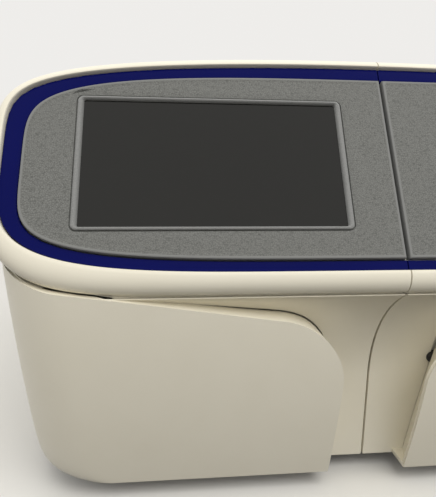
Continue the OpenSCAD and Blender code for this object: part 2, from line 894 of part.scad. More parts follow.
module tray_rails() {
    color(steel) for (x = [bay_in, bay_out - rail_w])
        box([x, tray_front + 6, floor_z], [x + rail_w, bay_back - wall, floor_z + rail_h]);
}

tray_in = bay_in + rail_w + gap;
tray_out = bay_out - rail_w - gap;
tray_t = 4;
tray_back = tray_front + tray_len;
tray_floor = floor_z + gap + tray_t;

module load_tray() {
    color(slate) difference() {
        union() {
            box([tray_in, tray_front, floor_z + gap], [tray_out, tray_back, tray_floor]);
            box([bay_in + gap, tray_front + 8, floor_z + rail_h + gap],
                [bay_out - gap, tray_back, floor_z + rail_h + gap + 2]);
            box([tray_in, tray_front, floor_z + gap], [tray_out, tray_front + 4, tray_floor + 12]);
            for (x = [tray_in, tray_out - 4])
                box([x, tray_front, floor_z + gap], [x + 4, tray_back, tray_floor + 8]);
        }
        box([tray_in + 4, tray_front + 4, tray_floor], [tray_out - 4, tray_back + 1, tray_floor + 20]);
        translate([(tray_in + tray_out) / 2, tray_front - 1, tray_floor + 14]) rotate([-90, 0, 0])
            cylinder(r = 14, h = 6, $fn = 64);
    }
}

cart_in = tray_in + 6;
cart_out = tray_out - 34;
cart_front = tray_front + 8;
cart_back = tray_back - 6;
well_pitch = 18;

module at_wells() {
    for (i = [0 : 5], j = [0 : 5])
        translate([cart_in + 14 + i * well_pitch, cart_front + 20 + j * well_pitch, 0]) children();
}

module cartridge() {
    color([0.25, 0.30, 0.36]) difference() {
        box([cart_in, cart_front, tray_floor], [cart_out, cart_back, tray_floor + cartridge_h]);
        at_wells() translate([0, 0, tray_floor + 3]) cylinder(r = well_r, h = cartridge_h, $fn = 32);
    }
}

// Foil-sealed cups that drop into the cartridge.
module cartridge_wells() {
    color(clear) at_wells() translate([0, 0, tray_floor + 3]) {
        cylinder(r = well_r - gap / 2, h = cartridge_h - 3, $fn = 32);
        translate([0, 0, cartridge_h - 3]) cylinder(r = well_r + 1, h = 0.6, $fn = 32);
    }
}

module flow_cell() {
    low = cart_out + 5;
    color(clear) {
        box([low, cart_front + 20, tray_floor], [low + 22, cart_front + 96, tray_floor + 2]);
        box([low + 2, cart_front + 24, tray_floor + 2], [low + 20, cart_front + 92, tray_floor + 3.2]);
    }
}

sipper_low = tray_floor + cartridge_h + 24;

module sipper_block() {
    color(steel) {
        box([bay_in, cart_front + 14, sipper_low + 14], [bay_out, cart_back - 8, sipper_low + 30]);
        at_wells() translate([0, 0, sipper_low]) cylinder(r = 1.2, h = 14, $fn = 16);
    }
}

// --- Upper modules ---------------------------------------------------------------------

// Free room between the optics and the cover, and the optics' two steps.
optics_room = 28;
optics_top = top_z - wall - optics_room;
optics_step = 36;
lens_r = 16;

module optics_block() {
    color(dark) {
        box([-200, -40, floor_z], [30, 230, optics_top - optics_step]);
        box([-170, 40, optics_top - optics_step], [-40, 200, optics_top]);
        translate([-105, 40, optics_top - optics_step + lens_r]) rotate([90, 0, 0])
            cylinder(r = lens_r, h = 40, $fn = 64);
    }
}

stage_x = [-190, -40];
stage_y = [-180, -120];
stage_rail_z = floor_z + 12;

module stage_rails() {
    color(steel) {
        for (y = stage_y) translate([stage_x[0], y, stage_rail_z]) rotate([0, 90, 0])
            cylinder(r = 4, h = stage_x[1] - stage_x[0], $fn = 48);
        for (x = [stage_x[0] - 6, stage_x[1]])
            box([x, stage_y[0] - 10, floor_z], [x + 6, stage_y[1] + 10, stage_rail_z + 8]);
    }
}

module objective_stage() {
    mid = (stage_x[0] + stage_x[1]) / 2;
    color(steel) difference() {
        union() {
            box([mid - 26, stage_y[0] - 9, floor_z + 3], [mid + 26, stage_y[1] + 9, stage_rail_z + 9]);
            translate([mid, (stage_y[0] + stage_y[1]) / 2, stage_rail_z + 9]) {
                cylinder(r = 17, h = 22, $fn = 64);
                translate([0, 0, 22]) cylinder(r1 = 17, r2 = 9, h = 10, $fn = 64);
            }
        }
        for (y = stage_y) translate([mid - 30, y, stage_rail_z]) rotate([0, 90, 0])
            cylinder(r = 4 + pin_fit, h = 60, $fn = 48);
    }
}

// --- Lower modules ---------------------------------------------------------------------

base_z = foot_h + wall;

module fluidics_block() {
    color(clear) difference() {
        box([-200, bulkhead_y + 20, base_z], [-60, bulkhead_y + 90, base_z + 70]);
        for (i = [0 : 3]) translate([-182 + i * 34, bulkhead_y + 55, base_z + 50])
            cylinder(r = 8, h = 21, $fn = 48);
    }
}

module syringe_pumps() {
    color(steel) for (i = [0 : 3]) translate([-182 + i * 34, bulkhead_y + 55, base_z + 50]) {
        cylinder(r = 8 - gap, h = 60, $fn = 48);
        translate([0, 0, 60]) cylinder(r = 3, h = 14, $fn = 32);
        translate([0, 0, 74]) cylinder(r = 6, h = 3, $fn = 48);
    }
}

module power_supply() {
    color(steel) difference() {
        box([-206, 90, base_z], [-40, 240, base_z + 44]);
        for (i = [0 : 9]) box([-190 + i * 14, 110, base_z + 40], [-184 + i * 14, 220, base_z + 45]);
    }
}

board_z = base_z + 10;

module computer_board() {
    color([0.10, 0.32, 0.18]) {
        box([-20, 20, board_z], [200, 240, board_z + 2]);
        for (x = [-12, 192], y = [28, 232]) translate([x, y, base_z]) cylinder(r = 3, h = 10, $fn = 32);
        for (i = [0 : 3]) box([130 + i * 12, 60, board_z + 2], [134 + i * 12, 190, board_z + 32]);
    }
}

module heat_sink() {
    color(steel) {
        box([20, 70, board_z + 2], [100, 150, board_z + 8]);
        for (i = [0 : 12]) box([20 + i * 6.5, 70, board_z + 8], [22 + i * 6.5, 150, board_z + 40]);
    }
}

// --- Back ------------------------------------------------------------------------------

panel_t = 3;
port_z = 40;
port_x = [120, 150, 180];
port_w = 16;
port_h = 14;
fan_bore = fan_size / 2 - 5;
switch_x = inlet_x + inlet_w / 2 + 12 + switch_w / 2;

module vent_rows() {
    for (i = [0 : 8], x = [-150, -50, 50, 150]) translate([x, 196 + i * 10])
        offset(2) square([74, 0.4], center = true);
}

module rear_panel() {
    color(steel) difference() {
        along_y(panel_y, panel_y + panel_t) intersection() {
            cabinet_view(wall + gap);
            translate([-far, foot_h + wall + gap]) square([2 * far, top_z - foot_h - 2 * wall - gap]);
        }
        along_y(panel_y - 1, panel_y + panel_t + 1) {
            for (x = [-fan_x, fan_x]) translate([x, fan_z]) circle(fan_bore, $fn = 96);
            vent_rows();
            translate([inlet_x, inlet_z]) square([inlet_w, inlet_h], center = true);
            translate([switch_x, inlet_z]) square([switch_w, switch_h], center = true);
            for (x = port_x) translate([x, port_z]) square([port_w, port_h], center = true);
        }
        screw_holes(screw_r + gap);
    }
}

module fan_frames() {
    color(dark) for (x = [-fan_x, fan_x]) translate([x, panel_y, fan_z]) rotate([90, 0, 0]) {
        difference() {
            linear_extrude(fan_t) rounded(fan_size, fan_size, 6);
            translate([0, 0, -1]) cylinder(r = fan_bore - 2, h = fan_t + 2, $fn = 96);
            for (a = [45 : 90 : 315]) rotate(a) translate([fan_size / 2 * 1.22, 0, -1])
                cylinder(r = 2.2, h = fan_t + 2, $fn = 32);
        }
        translate([0, 0, fan_t - 3]) cylinder(r = hub_r, h = 3, $fn = 64);
        for (a = [0 : 90 : 270]) rotate(a + 20) translate([hub_r - 1, -2, fan_t - 3])
            cube([fan_bore - 2 - hub_r + 2, 4, 3]);
        translate([0, 0, 4]) cylinder(r = shaft_r, h = fan_t - 6, $fn = 48);
    }
}

blades = 7;
blade_r = fan_bore - 2 - tip_gap;

module rotor(x) {
    color(dark) translate([x, panel_y, fan_z]) rotate([90, 0, 0]) difference() {
        union() {
            translate([0, 0, 3]) cylinder(r = hub_r, h = fan_t - 8, $fn = 64);
            intersection() {
                translate([0, 0, 3]) cylinder(r = blade_r, h = fan_t - 8, $fn = 96);
                for (i = [0 : blades - 1]) rotate(i * 360 / blades)
                    translate([hub_r - 2, 0, fan_t / 2 - 1]) rotate([52, 0, 0])
                        translate([0, -14, -0.8]) cube([blade_r, 28, 1.6]);
            }
        }
        translate([0, 0, 2]) cylinder(r = shaft_r + pin_fit, h = fan_t - 5.5, $fn = 48);
    }
}

module left_rotor() { rotor(-fan_x); }
module right_rotor() { rotor(fan_x); }

wire_r = 0.9;

module fan_guards() {
    rings = 5;
    color(steel) for (x = [-fan_x, fan_x])
        translate([x, panel_y + panel_t + wire_r, fan_z]) rotate([-90, 0, 0]) {
            for (i = [1 : rings]) rotate_extrude($fn = 96)
                translate([(fan_bore + 3) * i / rings, 0]) circle(wire_r, $fn = 16);
            for (a = [0, 90]) rotate(a) translate([-fan_bore - 3, 0, 2 * wire_r]) rotate([0, 90, 0])
                cylinder(r = wire_r, h = 2 * fan_bore + 6, $fn = 16);
        }
}

module power_inlet() {
    flange = 4;
    deep = 20;
    color(dark) translate([inlet_x, panel_y + panel_t, inlet_z]) rotate([90, 0, 0]) difference() {
        union() {
            sheet(-2, 0) rounded(inlet_w + 2 * flange, inlet_h + 2 * flange, 2);
            sheet(-1, deep) square([inlet_w - 2 * gap, inlet_h - 2 * gap], center = true);
        }
        sheet(-3, deep - 3) difference() {
            square([inlet_w - 4, inlet_h - 4], center = true);
            for (x = [-7, 0, 7]) translate([x, x == 0 ? 2 : -2]) square([2, 4], center = true);
        }
    }
}

rocker_r = 9;
rocker_deep = 9;
rocker_pin = 1.5;

module at_switch() { translate([switch_x, panel_y + panel_t, inlet_z]) children(); }

module switch_body() {
    color(dark) at_switch() {
        difference() {
            union() {
                along_y(0, 1.5) rounded(switch_w + 4, switch_h + 4, 1.5);
                along_y(-16, 0) square([switch_w - 2 * gap, switch_h - 2 * gap], center = true);
            }
            along_y(-14, 3) square([switch_w - 4, switch_h - 3], center = true);
        }
        translate([-(switch_w / 2 - 1), -5, 0]) rotate([0, 90, 0])
            cylinder(r = rocker_pin, h = switch_w - 2, $fn = 48);
    }
}

module rocker() {
    color(dark) at_switch() difference() {
        along_x(-(switch_w / 2 - 2.6), switch_w / 2 - 2.6) polygon([
            [-8, -5], [-8, 5], [-2, 7.2], [4, 7.2], [1, 0], [2, -7.2], [-2, -7.2]]);
        translate([-switch_w / 2, -5, 0]) rotate([0, 90, 0])
            cylinder(r = rocker_pin + pin_fit, h = switch_w, $fn = 48);
    }
}

module data_ports() {
    color(steel) for (x = port_x) translate([x, panel_y + panel_t + 1, port_z]) {
        difference() {
            along_y(-16, 0) square([port_w - 2 * gap, port_h - 2 * gap], center = true);
            along_y(-14, 1) square([port_w - 3, port_h - 4], center = true);
        }
        along_y(-14.5, -2) square([port_w - 6, 1.6], center = true);
    }
}

module cover_screws() {
    color(steel) for (x = screw_x, z = [screw_low, screw_high])
        translate([x, panel_y + panel_t, z]) rotate([-90, 0, 0]) difference() {
            union() {
                cylinder(r1 = 4, r2 = 3, h = 2, $fn = 48);
                translate([0, 0, -panel_t - 4])
                    cylinder(r = screw_r - pin_fit, h = panel_t + 5, $fn = 32);
            }
            translate([0, 0, 1]) cylinder(r = screw_r, h = 2, $fn = 6);
        }
}

base_pan();
feet();
cover();
rear_panel();
deck();
bulkhead();
left_front();
right_front();
visor_frame();
left_rim();
left_band();
left_fascia();
screen_frame();
touch_glass();
lcd_module();
right_rim();
right_band();
right_fascia();
visor_pan();
visor_arms();
visor_pins();
bay_liner();
tray_rails();
load_tray();
cartridge();
cartridge_wells();
flow_cell();
sipper_block();
left_door();
right_door();
left_lugs();
right_lugs();
door_pivots();
door_catches();
left_bay();
right_bay();
bottles();
bottle_caps();
filter_frame();
filter_pleats();
optics_block();
stage_rails();
objective_stage();
fluidics_block();
syringe_pumps();
power_supply();
computer_board();
heat_sink();
fan_frames();
left_rotor();
right_rotor();
fan_guards();
power_inlet();
switch_body();
rocker();
data_ports();
cover_screws();
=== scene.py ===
# %% [markdown]
# # A benchtop sequencer, finished in Blender
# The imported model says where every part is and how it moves. This lesson keeps those places and
# gives each part the surface that the real one has: moulded covers with rounded edges, a glossy
# navy inlay, a grained grey face plate and a dark touch glass. Lengths below are written in
# millimetres, because that is how such a machine is drawn, and become metres in one helper.

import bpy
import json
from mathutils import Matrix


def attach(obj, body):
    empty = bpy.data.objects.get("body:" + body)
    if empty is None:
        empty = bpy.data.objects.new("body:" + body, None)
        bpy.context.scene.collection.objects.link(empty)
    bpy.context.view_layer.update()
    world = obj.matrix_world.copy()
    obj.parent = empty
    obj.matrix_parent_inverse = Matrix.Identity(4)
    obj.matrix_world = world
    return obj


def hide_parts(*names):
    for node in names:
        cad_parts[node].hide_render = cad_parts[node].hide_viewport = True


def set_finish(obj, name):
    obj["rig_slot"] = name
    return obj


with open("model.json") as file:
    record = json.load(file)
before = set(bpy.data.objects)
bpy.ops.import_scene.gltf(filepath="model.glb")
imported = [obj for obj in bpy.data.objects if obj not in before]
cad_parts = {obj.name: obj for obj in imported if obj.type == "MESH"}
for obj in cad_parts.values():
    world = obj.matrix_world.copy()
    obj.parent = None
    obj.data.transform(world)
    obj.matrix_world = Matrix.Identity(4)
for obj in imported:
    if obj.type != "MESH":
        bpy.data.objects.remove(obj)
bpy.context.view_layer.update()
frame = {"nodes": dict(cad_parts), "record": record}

# %% Libraries and units
import json
import math

import bmesh
import bpy
import numpy as np
from mathutils import Matrix, Vector

MM = 0.001
scene = bpy.context.scene
made = []

# %% [markdown]
# ## Camera
# A product is judged from where a buyer stands, so the camera comes first: a little above the
# machine and close to its left half, level with the horizon but tipped down by eleven degrees.
# Its three axes are written out, which is more exact than three turns, and the lens follows
# from the field of view on the long side of the picture.

# %% Camera
eye = Vector((-0.15156, -0.566, 0.2508))
right_axis = Vector((0.995848, -0.090423, 0.010506))
up_axis = Vector((0.006985, 0.19097, 0.981571))
back_axis = right_axis.cross(up_axis)
frame_width, frame_height = 436, 497
sensor = 36

camera_data = bpy.data.cameras.new("view")
camera_data.sensor_width = sensor
camera_data.lens = sensor * frame_width / frame_height
camera_data.clip_start = 0.02
camera_data.clip_end = 30
camera = bpy.data.objects.new("view", camera_data)
camera.matrix_world = Matrix(
    ((right_axis.x, up_axis.x, back_axis.x, eye.x),
     (right_axis.y, up_axis.y, back_axis.y, eye.y),
     (right_axis.z, up_axis.z, back_axis.z, eye.z),
     (0, 0, 0, 1)))
scene.collection.objects.link(camera)
scene.camera = camera
print("lens", round(camera_data.lens, 2), "mm")

# %% [markdown]
# ## Sizes shared with the solids
# A dressed piece must lie where its solid lies, so the sizes that shape the front are repeated
# here under the same names: the visor's lean and place, the outlines of its band and face
# plate, the rim's widths, and the doors' curves.

# %% Sizes of the visor and the doors
LEAN = math.radians(62.5)
VISOR_Y, VISOR_Z = -268.0, 248.0
RIM_W, RIM_FOOT_W, RIM_CORNER = 9.0, 13.0, 5.0
RIM_DEPTH, RIM_FOOT_DEPTH, RIM_ROLL, RIM_CREST = 26.0, 12.0, 10.0, 0.5
RISE, DROP = 85.5, 72.0
BAND_LINE = (276.0 - RIM_W, RISE, DROP)
BAND_SIDE, BAND_HEAD, BAND_FOOT = 13.5, 12.0, 8.0
FASCIA_LINE = (BAND_LINE[0] - BAND_SIDE, RISE - BAND_HEAD, DROP - BAND_FOOT)
BAND_BEND = (2.2, 6.4, 5.4, 3.8)
FASCIA_BEND = (3.3, 5.2, 4.4, 5.1)
FASCIA_T, BAND_T = 6.0, 3.5
SEAM_GAP, SHELL_SEAM, GAP = 2.4, 0.8, 0.3
SCREEN_W, SCREEN_H, SCREEN_X, SCREEN_UP, SCREEN_R = 177.5, 93.0, -126.75, 5.0, 1.2
FRAME_SIDE, FRAME_END, FRAME_PROUD, GLASS_DEEP = 4.0, 2.6, 1.0, 1.6
SIDE_X, FLANK_Z, FOOT_H = 272.0, 180.0, 14.0
FLANK_BEND, FLANK_TAPER = (30, 20), 0.025
DOOR_IN, DOOR_TOP, DOOR_R, DOOR_SLOPE = 36.0, 143.0, 46.0, 0.14
SWEEP_X, SWEEP_RISE = 228.0, 13.0
DOOR_FOOT_Y, DOOR_CORNER, DOOR_REAR_Y, DOOR_GAP, DOOR_T = -272.6, 50.0, -218.0, 1.5, 3.0
DOOR_FOOT_GAP = 0.8
NECK_Y, COVE_R, COVE_Z, COVE_SWEEP = -252.5, 92.5, 86.5, 60.0
CHIN, WALL_TOP, COVE_OUT = (-295.4, 167.3), (-276.7, 191.0), 238.0
FINE, SEAM_STEPS = 3000, 1200
print("visor width", 2 * (BAND_LINE[0] + RIM_W), "mm")

# %% [markdown]
# ## Grids into meshes
# Every new piece is a grid of points worked out as one array: rows run along a path and
# columns run across it. Neighbouring points make a quad. A grid that closes on itself across
# the path needs only its two ends filled to be a solid, and a grid that closes both ways is a
# solid already. Welding then removes the doubled points at the joins, and turning all faces
# outward at the end is safe because each piece is a closed shell.

# %% Grid helpers
def quads(rows, cols, close_rows=False, close_cols=False):
    """Corner numbers of the quads between neighbouring rows and columns of a rows x cols grid."""
    r = np.arange(rows if close_rows else rows - 1)[:, None]
    c = np.arange(cols if close_cols else cols - 1)[None, :]
    r2, c2 = (r + 1) % rows, (c + 1) % cols
    corners = [r * cols + c, r * cols + c2, r2 * cols + c2, r2 * cols + c]
    return np.stack(corners, -1).reshape(-1, 4)


def on_visor(points):
    """Turns face points (across, up, out) by the lean and moves them to the visor's place:
    y = visor y + up cos(lean) - out sin(lean), z = visor z + up sin(lean) + out cos(lean)."""
    x, v, w = points[..., 0], points[..., 1], points[..., 2]
    return np.stack([x, VISOR_Y + v * math.cos(LEAN) - w * math.sin(LEAN),
                     VISOR_Z + v * math.sin(LEAN) + w * math.cos(LEAN)], -1)


def closed_tube(grid):
    """Quads round a path whose cross sections are closed, with an n-gon over each end."""
    rows, cols = grid.shape[:2]
    faces = quads(rows, cols, close_cols=True).tolist()
    faces.append(list(range(cols)))
    faces.append([(rows - 1) * cols + c for c in range(cols)][::-1])
    return grid.reshape(-1, 3), faces


def torus(grid):
    """Quads over a grid that closes on itself both ways."""
    rows, cols = grid.shape[:2]
    return grid.reshape(-1, 3), quads(rows, cols, True, True).tolist()


def mirrored(parts):
    """The same points with x reversed."""
    return [(np.asarray(p) * (-1, 1, 1), f) for p, f in parts]


def joined(name, parts):
    """Parts, each an array of points in mm and its faces, as one mesh in metres."""
    points, faces, start = [], [], 0
    for p, f in parts:
        points.append(np.asarray(p, float) * MM)
        faces += [[i + start for i in face] for face in f]
        start += len(p)
    mesh = bpy.data.meshes.new(name)
    mesh.from_pydata(np.concatenate(points).tolist(), [], faces)
    return mesh


def build(name, parts, body, slot, replaces=(), smooth=32, bevel=0.0, marks=None):
    """Joins parts into one welded mesh with faces outward, smooth across edges under an
    angle, and hangs it on its body. Marks are values of the attribute lip, one a point."""
    mesh = joined(name, parts)
    if marks is not None:
        layer = mesh.attributes.new("lip", "FLOAT", "POINT")
        layer.data.foreach_set("value", np.asarray(marks, float))
    work = bmesh.new()
    work.from_mesh(mesh)
    bmesh.ops.remove_doubles(work, verts=work.verts, dist=2e-6)
    bmesh.ops.dissolve_degenerate(work, edges=work.edges, dist=1e-7)
    bmesh.ops.recalc_face_normals(work, faces=work.faces)
    work.to_mesh(mesh)
    work.free()
    return dress(name, mesh, body, slot, replaces, smooth, bevel)


def dress(name, mesh, body, slot, replaces, smooth, bevel):
    """Makes the object of a finished mesh, rides it on its body and hides the parts it replaces.
    """
    mesh.shade_smooth()
    mesh.set_sharp_from_angle(angle=math.radians(smooth))
    piece = bpy.data.objects.new(name, mesh)
    scene.collection.objects.link(piece)
    if bevel:
        edge = piece.modifiers.new("edge", "BEVEL")
        edge.width = bevel * MM
        edge.segments = 2
        edge.limit_method = "ANGLE"
        edge.angle_limit = math.radians(smooth)
        edge.harden_normals = True
    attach(piece, body)
    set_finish(piece, slot)
    if replaces:
        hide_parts(*replaces)
    made.append(piece)
    print(f"{name}: {len(mesh.vertices)} points on {body}")
    return piece

# %% [markdown]
# ## The visor's outline
# The visor, its navy band and its face plate share one kind of outline: a half superellipse
# whose exponents differ above and below the middle, so the top sweeps over in a long shallow
# curve while the bottom stays flat and turns up late. The curve is first worked out densely
# and then spaced evenly, which keeps the quads on it regular.

# %% Outline and its outward direction
def outline(line, bend, start, count=260):
    """Right half of an outline, from the foot of the seam round to its top, as rows of
    (across, up, angle). Across is start + (half - start) cos(a)^(2/n), up is the reach times
    sin(a)^(2/m), with a from -90 to 90 degrees and its own exponents above and below 0."""
    a = np.radians(np.linspace(-90, 90, 12001))
    over = a >= 0
    n = np.where(over, bend[0], bend[2])
    m = np.where(over, bend[1], bend[3])
    reach = np.where(over, line[1], -line[2])
    x = start + (line[0] - start) * np.abs(np.cos(a)) ** (2 / n)
    y = reach * np.abs(np.sin(a)) ** (2 / m)
    steps = np.hypot(np.diff(x), np.diff(y))
    along = np.concatenate([[0], np.cumsum(steps)])
    even = np.linspace(0, along[-1], count)
    return np.stack([np.interp(even, along, q) for q in (x, y, np.degrees(a))], -1)


def outward(line):
    """Unit normals of a path, to its right: the central difference (dx, dy) turned to (dy, -dx).
    The two ends look straight down and straight up."""
    d = np.gradient(line[:, :2], axis=0)
    n = np.stack([d[:, 1], -d[:, 0]], -1)
    n[0], n[-1] = (0, -1), (0, 1)
    return n / np.linalg.norm(n, axis=1, keepdims=True)

# %% [markdown]
# ## Cream rim
# The rim is the thick rolled edge of the visor, moulded in two halves. It could be a swept
# curve with a bevel object, but its width and depth change on the way round: it is widest at
# the lower corners and deepest at the top. So each cross section is computed from its height
# up the face: a small inner edge, a crest, an elliptical roll and a straight side.

# %% Rim
def rim_sections(line):
    """Cross sections along the outline, as (outward, out of the face). The reach is the top
    width plus a square-law widening toward the foot plus a bump sin(2a)^2 at the corner; the
    roll goes reach sin(t), crest + roll (cos(t) - 1)."""
    v, a = line[:, 1], np.radians(line[:, 2])
    reach = RIM_W + (RIM_FOOT_W - RIM_W) * (np.maximum(0, -v) / DROP) ** 2
    reach = reach + np.where(a < 0, RIM_CORNER * np.sin(2 * a) ** 2, 0)
    back = RIM_FOOT_DEPTH + (RIM_DEPTH - RIM_FOOT_DEPTH) * (v + DROP) / (RISE + DROP)
    t = np.linspace(0.09, 1, 22) * np.pi / 2
    roll_out = reach[:, None] * np.sin(t)[None, :]
    roll_up = -RIM_ROLL + (RIM_ROLL + RIM_CREST) * np.cos(t)[None, :] + 0 * roll_out
    one = np.ones(len(v))
    head = [(0 * one, -back), (0 * one, -0.9 * one), (0.15 * one, -0.35 * one),
            (0.5 * one, 0.2 * one)]
    tail = [(reach, -back + 2.2), (reach - 0.7, -back + 0.7), (reach - 2.2, -back)]
    out = np.concatenate([np.stack([h[0] for h in head], 1), roll_out,
                          np.stack([q[0] for q in tail], 1)], 1)
    up = np.concatenate([np.stack([h[1] for h in head], 1), roll_up,
                         np.stack([q[1] for q in tail], 1)], 1)
    return out, up


def rim_half():
    """The right half of the rim: its cross sections set along the band's outline."""
    line = outline(BAND_LINE, BAND_BEND, SHELL_SEAM / 2)
    out, up = rim_sections(line)
    across = line[:, None, :2] + out[..., None] * outward(line)[:, None, :]
    return [closed_tube(on_visor(np.concatenate([across, up[..., None]], -1)))]


rim = rim_half()
build("rim_right", rim, "visor", "cream_shell", ["right_rim"], smooth=40, bevel=0.35)
build("rim_left", mirrored(rim), "cabinet", "cream_shell", ["left_rim"], smooth=40, bevel=0.35)

# %% [markdown]
# ## Navy band
# The band is a separate glossy moulding laid in the channel between rim and face plate. Flat,
# it would look like paint. A real inlay is slightly crowned and has a fine bevel at its outer
# edge, which catches a thin grey line of light along the top.

# %% Band
def rays(poly, centre, angles):
    """Points where rays from a centre at given angles meet an outline seen from inside it:
    the outline's own angles and distances are interpolated."""
    d = poly - centre
    where = np.unwrap(np.arctan2(d[:, 1], d[:, 0]))
    far = np.linalg.norm(d, axis=1)
    order = np.argsort(where)
    turned = np.interp(angles, where[order], far[order])
    return centre + turned[:, None] * np.stack([np.cos(angles), np.sin(angles)], -1)


def grown(line, by):
    """The sizes of an outline, each made larger by a distance."""
    return tuple(q + by for q in line)


def band_half():
    """For each direction from the seam's middle, a section from the face plate's edge to the
    rim: up its inner wall, over a low crown, down a bevel to the outer wall."""
    start = SHELL_SEAM / 2
    centre = np.array([start, 0.0])
    near = outline(grown(FASCIA_LINE, 1.0), FASCIA_BEND, start, FINE)[:, :2]
    far = outline(grown(BAND_LINE, -GAP), BAND_BEND, start, FINE)[:, :2]
    spread = np.linspace(-1, 1, 241)
    angles = np.pi / 2 * np.sign(spread) * (1 - (1 - np.abs(spread)) ** 2.4)
    a, b = rays(near, centre, angles), rays(far, centre, angles)
    across = np.array([0, 0, 0.03, 0.2, 0.4, 0.6, 0.8, 0.9, 0.955, 1, 1])
    top = -FASCIA_T + BAND_T
    crown = top + np.array([-0.5, -0.15, 0, 0.1, 0.1, 0, -0.05, -0.12, -0.9])
    height = np.concatenate([[-FASCIA_T], crown, [-FASCIA_T]])
    flat = a[:, None, :] + across[None, :, None] * (b - a)[:, None, :]
    level = np.broadcast_to(height, flat.shape[:2])[..., None]
    return [closed_tube(on_visor(np.concatenate([flat, level], -1)))]


band = band_half()
build("band_right", band, "visor", "navy_band", ["right_band"], smooth=50)
build("band_left", mirrored(band), "cabinet", "navy_band", ["left_band"], smooth=50)

# %% [markdown]
# ## Face plates
# The two grey plates have a grained field inside a plain raised lip, so that the grain never
# runs off an edge. The left one is a ring round the screen: rays from the screen's middle pair
# each point of the opening with one of the outline, and the rows between them carry the lip,
# the small step down to the field and the fine groove round the screen's frame. An attribute
# called lip records where the surface is plain, for the material to read.

# %% Face plates
LIP_W, LIP_STEP = 1.6, 0.25


def plate_line(by):
    """Closed outline of the right face plate, drawn in by a distance, with its seam edge."""
    half = outline(grown(FASCIA_LINE, -by), FASCIA_BEND, SEAM_GAP / 2 + by, FINE)[:, :2]
    return np.concatenate([half, np.linspace(half[-1], half[0], SEAM_STEPS)[1:-1]])


def round_rect(w, h, r, count=64):
    """Closed rounded rectangle round (0, 0), counter-clockwise, with its corners as arcs."""
    t = np.linspace(0, np.pi / 2, count // 4)
    corners = [(w / 2 - r, h / 2 - r, 0), (-w / 2 + r, h / 2 - r, 1),
               (-w / 2 + r, -h / 2 + r, 2), (w / 2 - r, -h / 2 + r, 3)]
    return np.concatenate([np.stack([x + r * np.cos(t + k * np.pi / 2),
                                     y + r * np.sin(t + k * np.pi / 2)], -1)
                           for x, y, k in corners])


def dense(poly, count=4000):
    """A closed polygon sampled evenly along its length."""
    ring = np.concatenate([poly, poly[:1]])
    along = np.concatenate([[0], np.cumsum(np.linalg.norm(np.diff(ring, axis=0), axis=1))])
    even = np.linspace(0, along[-1], count, endpoint=False)
    return np.stack([np.interp(even, along, ring[:, k]) for k in (0, 1)], -1)


def corner_angles(polys, centre, count=360):
    """Evenly spread directions plus those of the sharpest points of some outlines, sorted."""
    found = [np.linspace(-np.pi, np.pi, count, endpoint=False)]
    for poly in polys:
        d = poly - centre
        found.append(np.arctan2(d[:, 1], d[:, 0]))
    every = np.sort(np.concatenate(found))
    return every[np.concatenate([[True], np.diff(every) > 1e-4])]


def ring_rows(poly, centre, angles):
    """rays() for a closed outline: it is turned once round so every direction is covered."""
    d = dense(poly) - centre
    where, far = np.arctan2(d[:, 1], d[:, 0]), np.linalg.norm(d, axis=1)
    order = np.argsort(where)
    where, far = where[order], far[order]
    far = np.interp(angles, np.concatenate([where - 2 * np.pi, where, where + 2 * np.pi]),
                    np.tile(far, 3))
    return centre + far[:, None] * np.stack([np.cos(angles), np.sin(angles)], -1)


def stack_rows(rows):
    """Rows of (points, out of face, lip) as a grid on the visor and its lip values."""
    grid = np.stack([np.concatenate([p, np.full((len(p), 1), w)], -1) for p, w, lip in rows])
    lips = np.concatenate([np.full(len(p), lip) for p, w, lip in rows])
    return on_visor(grid), lips


frame_outer = (SCREEN_W + 2 * FRAME_SIDE, SCREEN_H + 2 * FRAME_END, SCREEN_R + FRAME_END)


def left_plate():
    """The plate with the screen's opening, drawn on the right, as a torus and its lip values."""
    centre = np.array([-SCREEN_X, SCREEN_UP])

    def window(grow):
        """The screen frame's outline, made larger by a distance."""
        return centre + round_rect(frame_outer[0] + 2 * grow, frame_outer[1] + 2 * grow,
                                   frame_outer[2] + grow)

    angles = corner_angles([window(0), plate_line(0)[[0, FINE - 1]]], centre)

    def row(poly, w, lip):
        return ring_rows(poly, centre, angles), w, lip

    rows = [row(window(0.1), -FASCIA_T, 0), row(window(0.1), -1.4, 0), row(window(0.7), -1.4, 0),
            row(window(0.85), -LIP_STEP - 0.1, 0), row(window(1.1), -LIP_STEP, 0),
            row(window(5.6), -LIP_STEP, 0)]
    outer = [(LIP_W + 2.5, -LIP_STEP, 0), (LIP_W + 0.5, -LIP_STEP, 0), (LIP_W, 0, 1), (0.9, 0, 1),
             (0.35, -0.22, 1), (0, -0.9, 1), (0, -FASCIA_T, 1)]
    inner_last = rows[-1][0]
    first_outer = ring_rows(plate_line(outer[0][0]), centre, angles)
    for share in (0.2, 0.4, 0.6, 0.8):
        rows.append((inner_last + share * (first_outer - inner_last), -LIP_STEP, 0))
    rows += [row(plate_line(by), w, lip) for by, w, lip in outer]
    grid, lips = stack_rows(rows)
    return torus(grid), lips


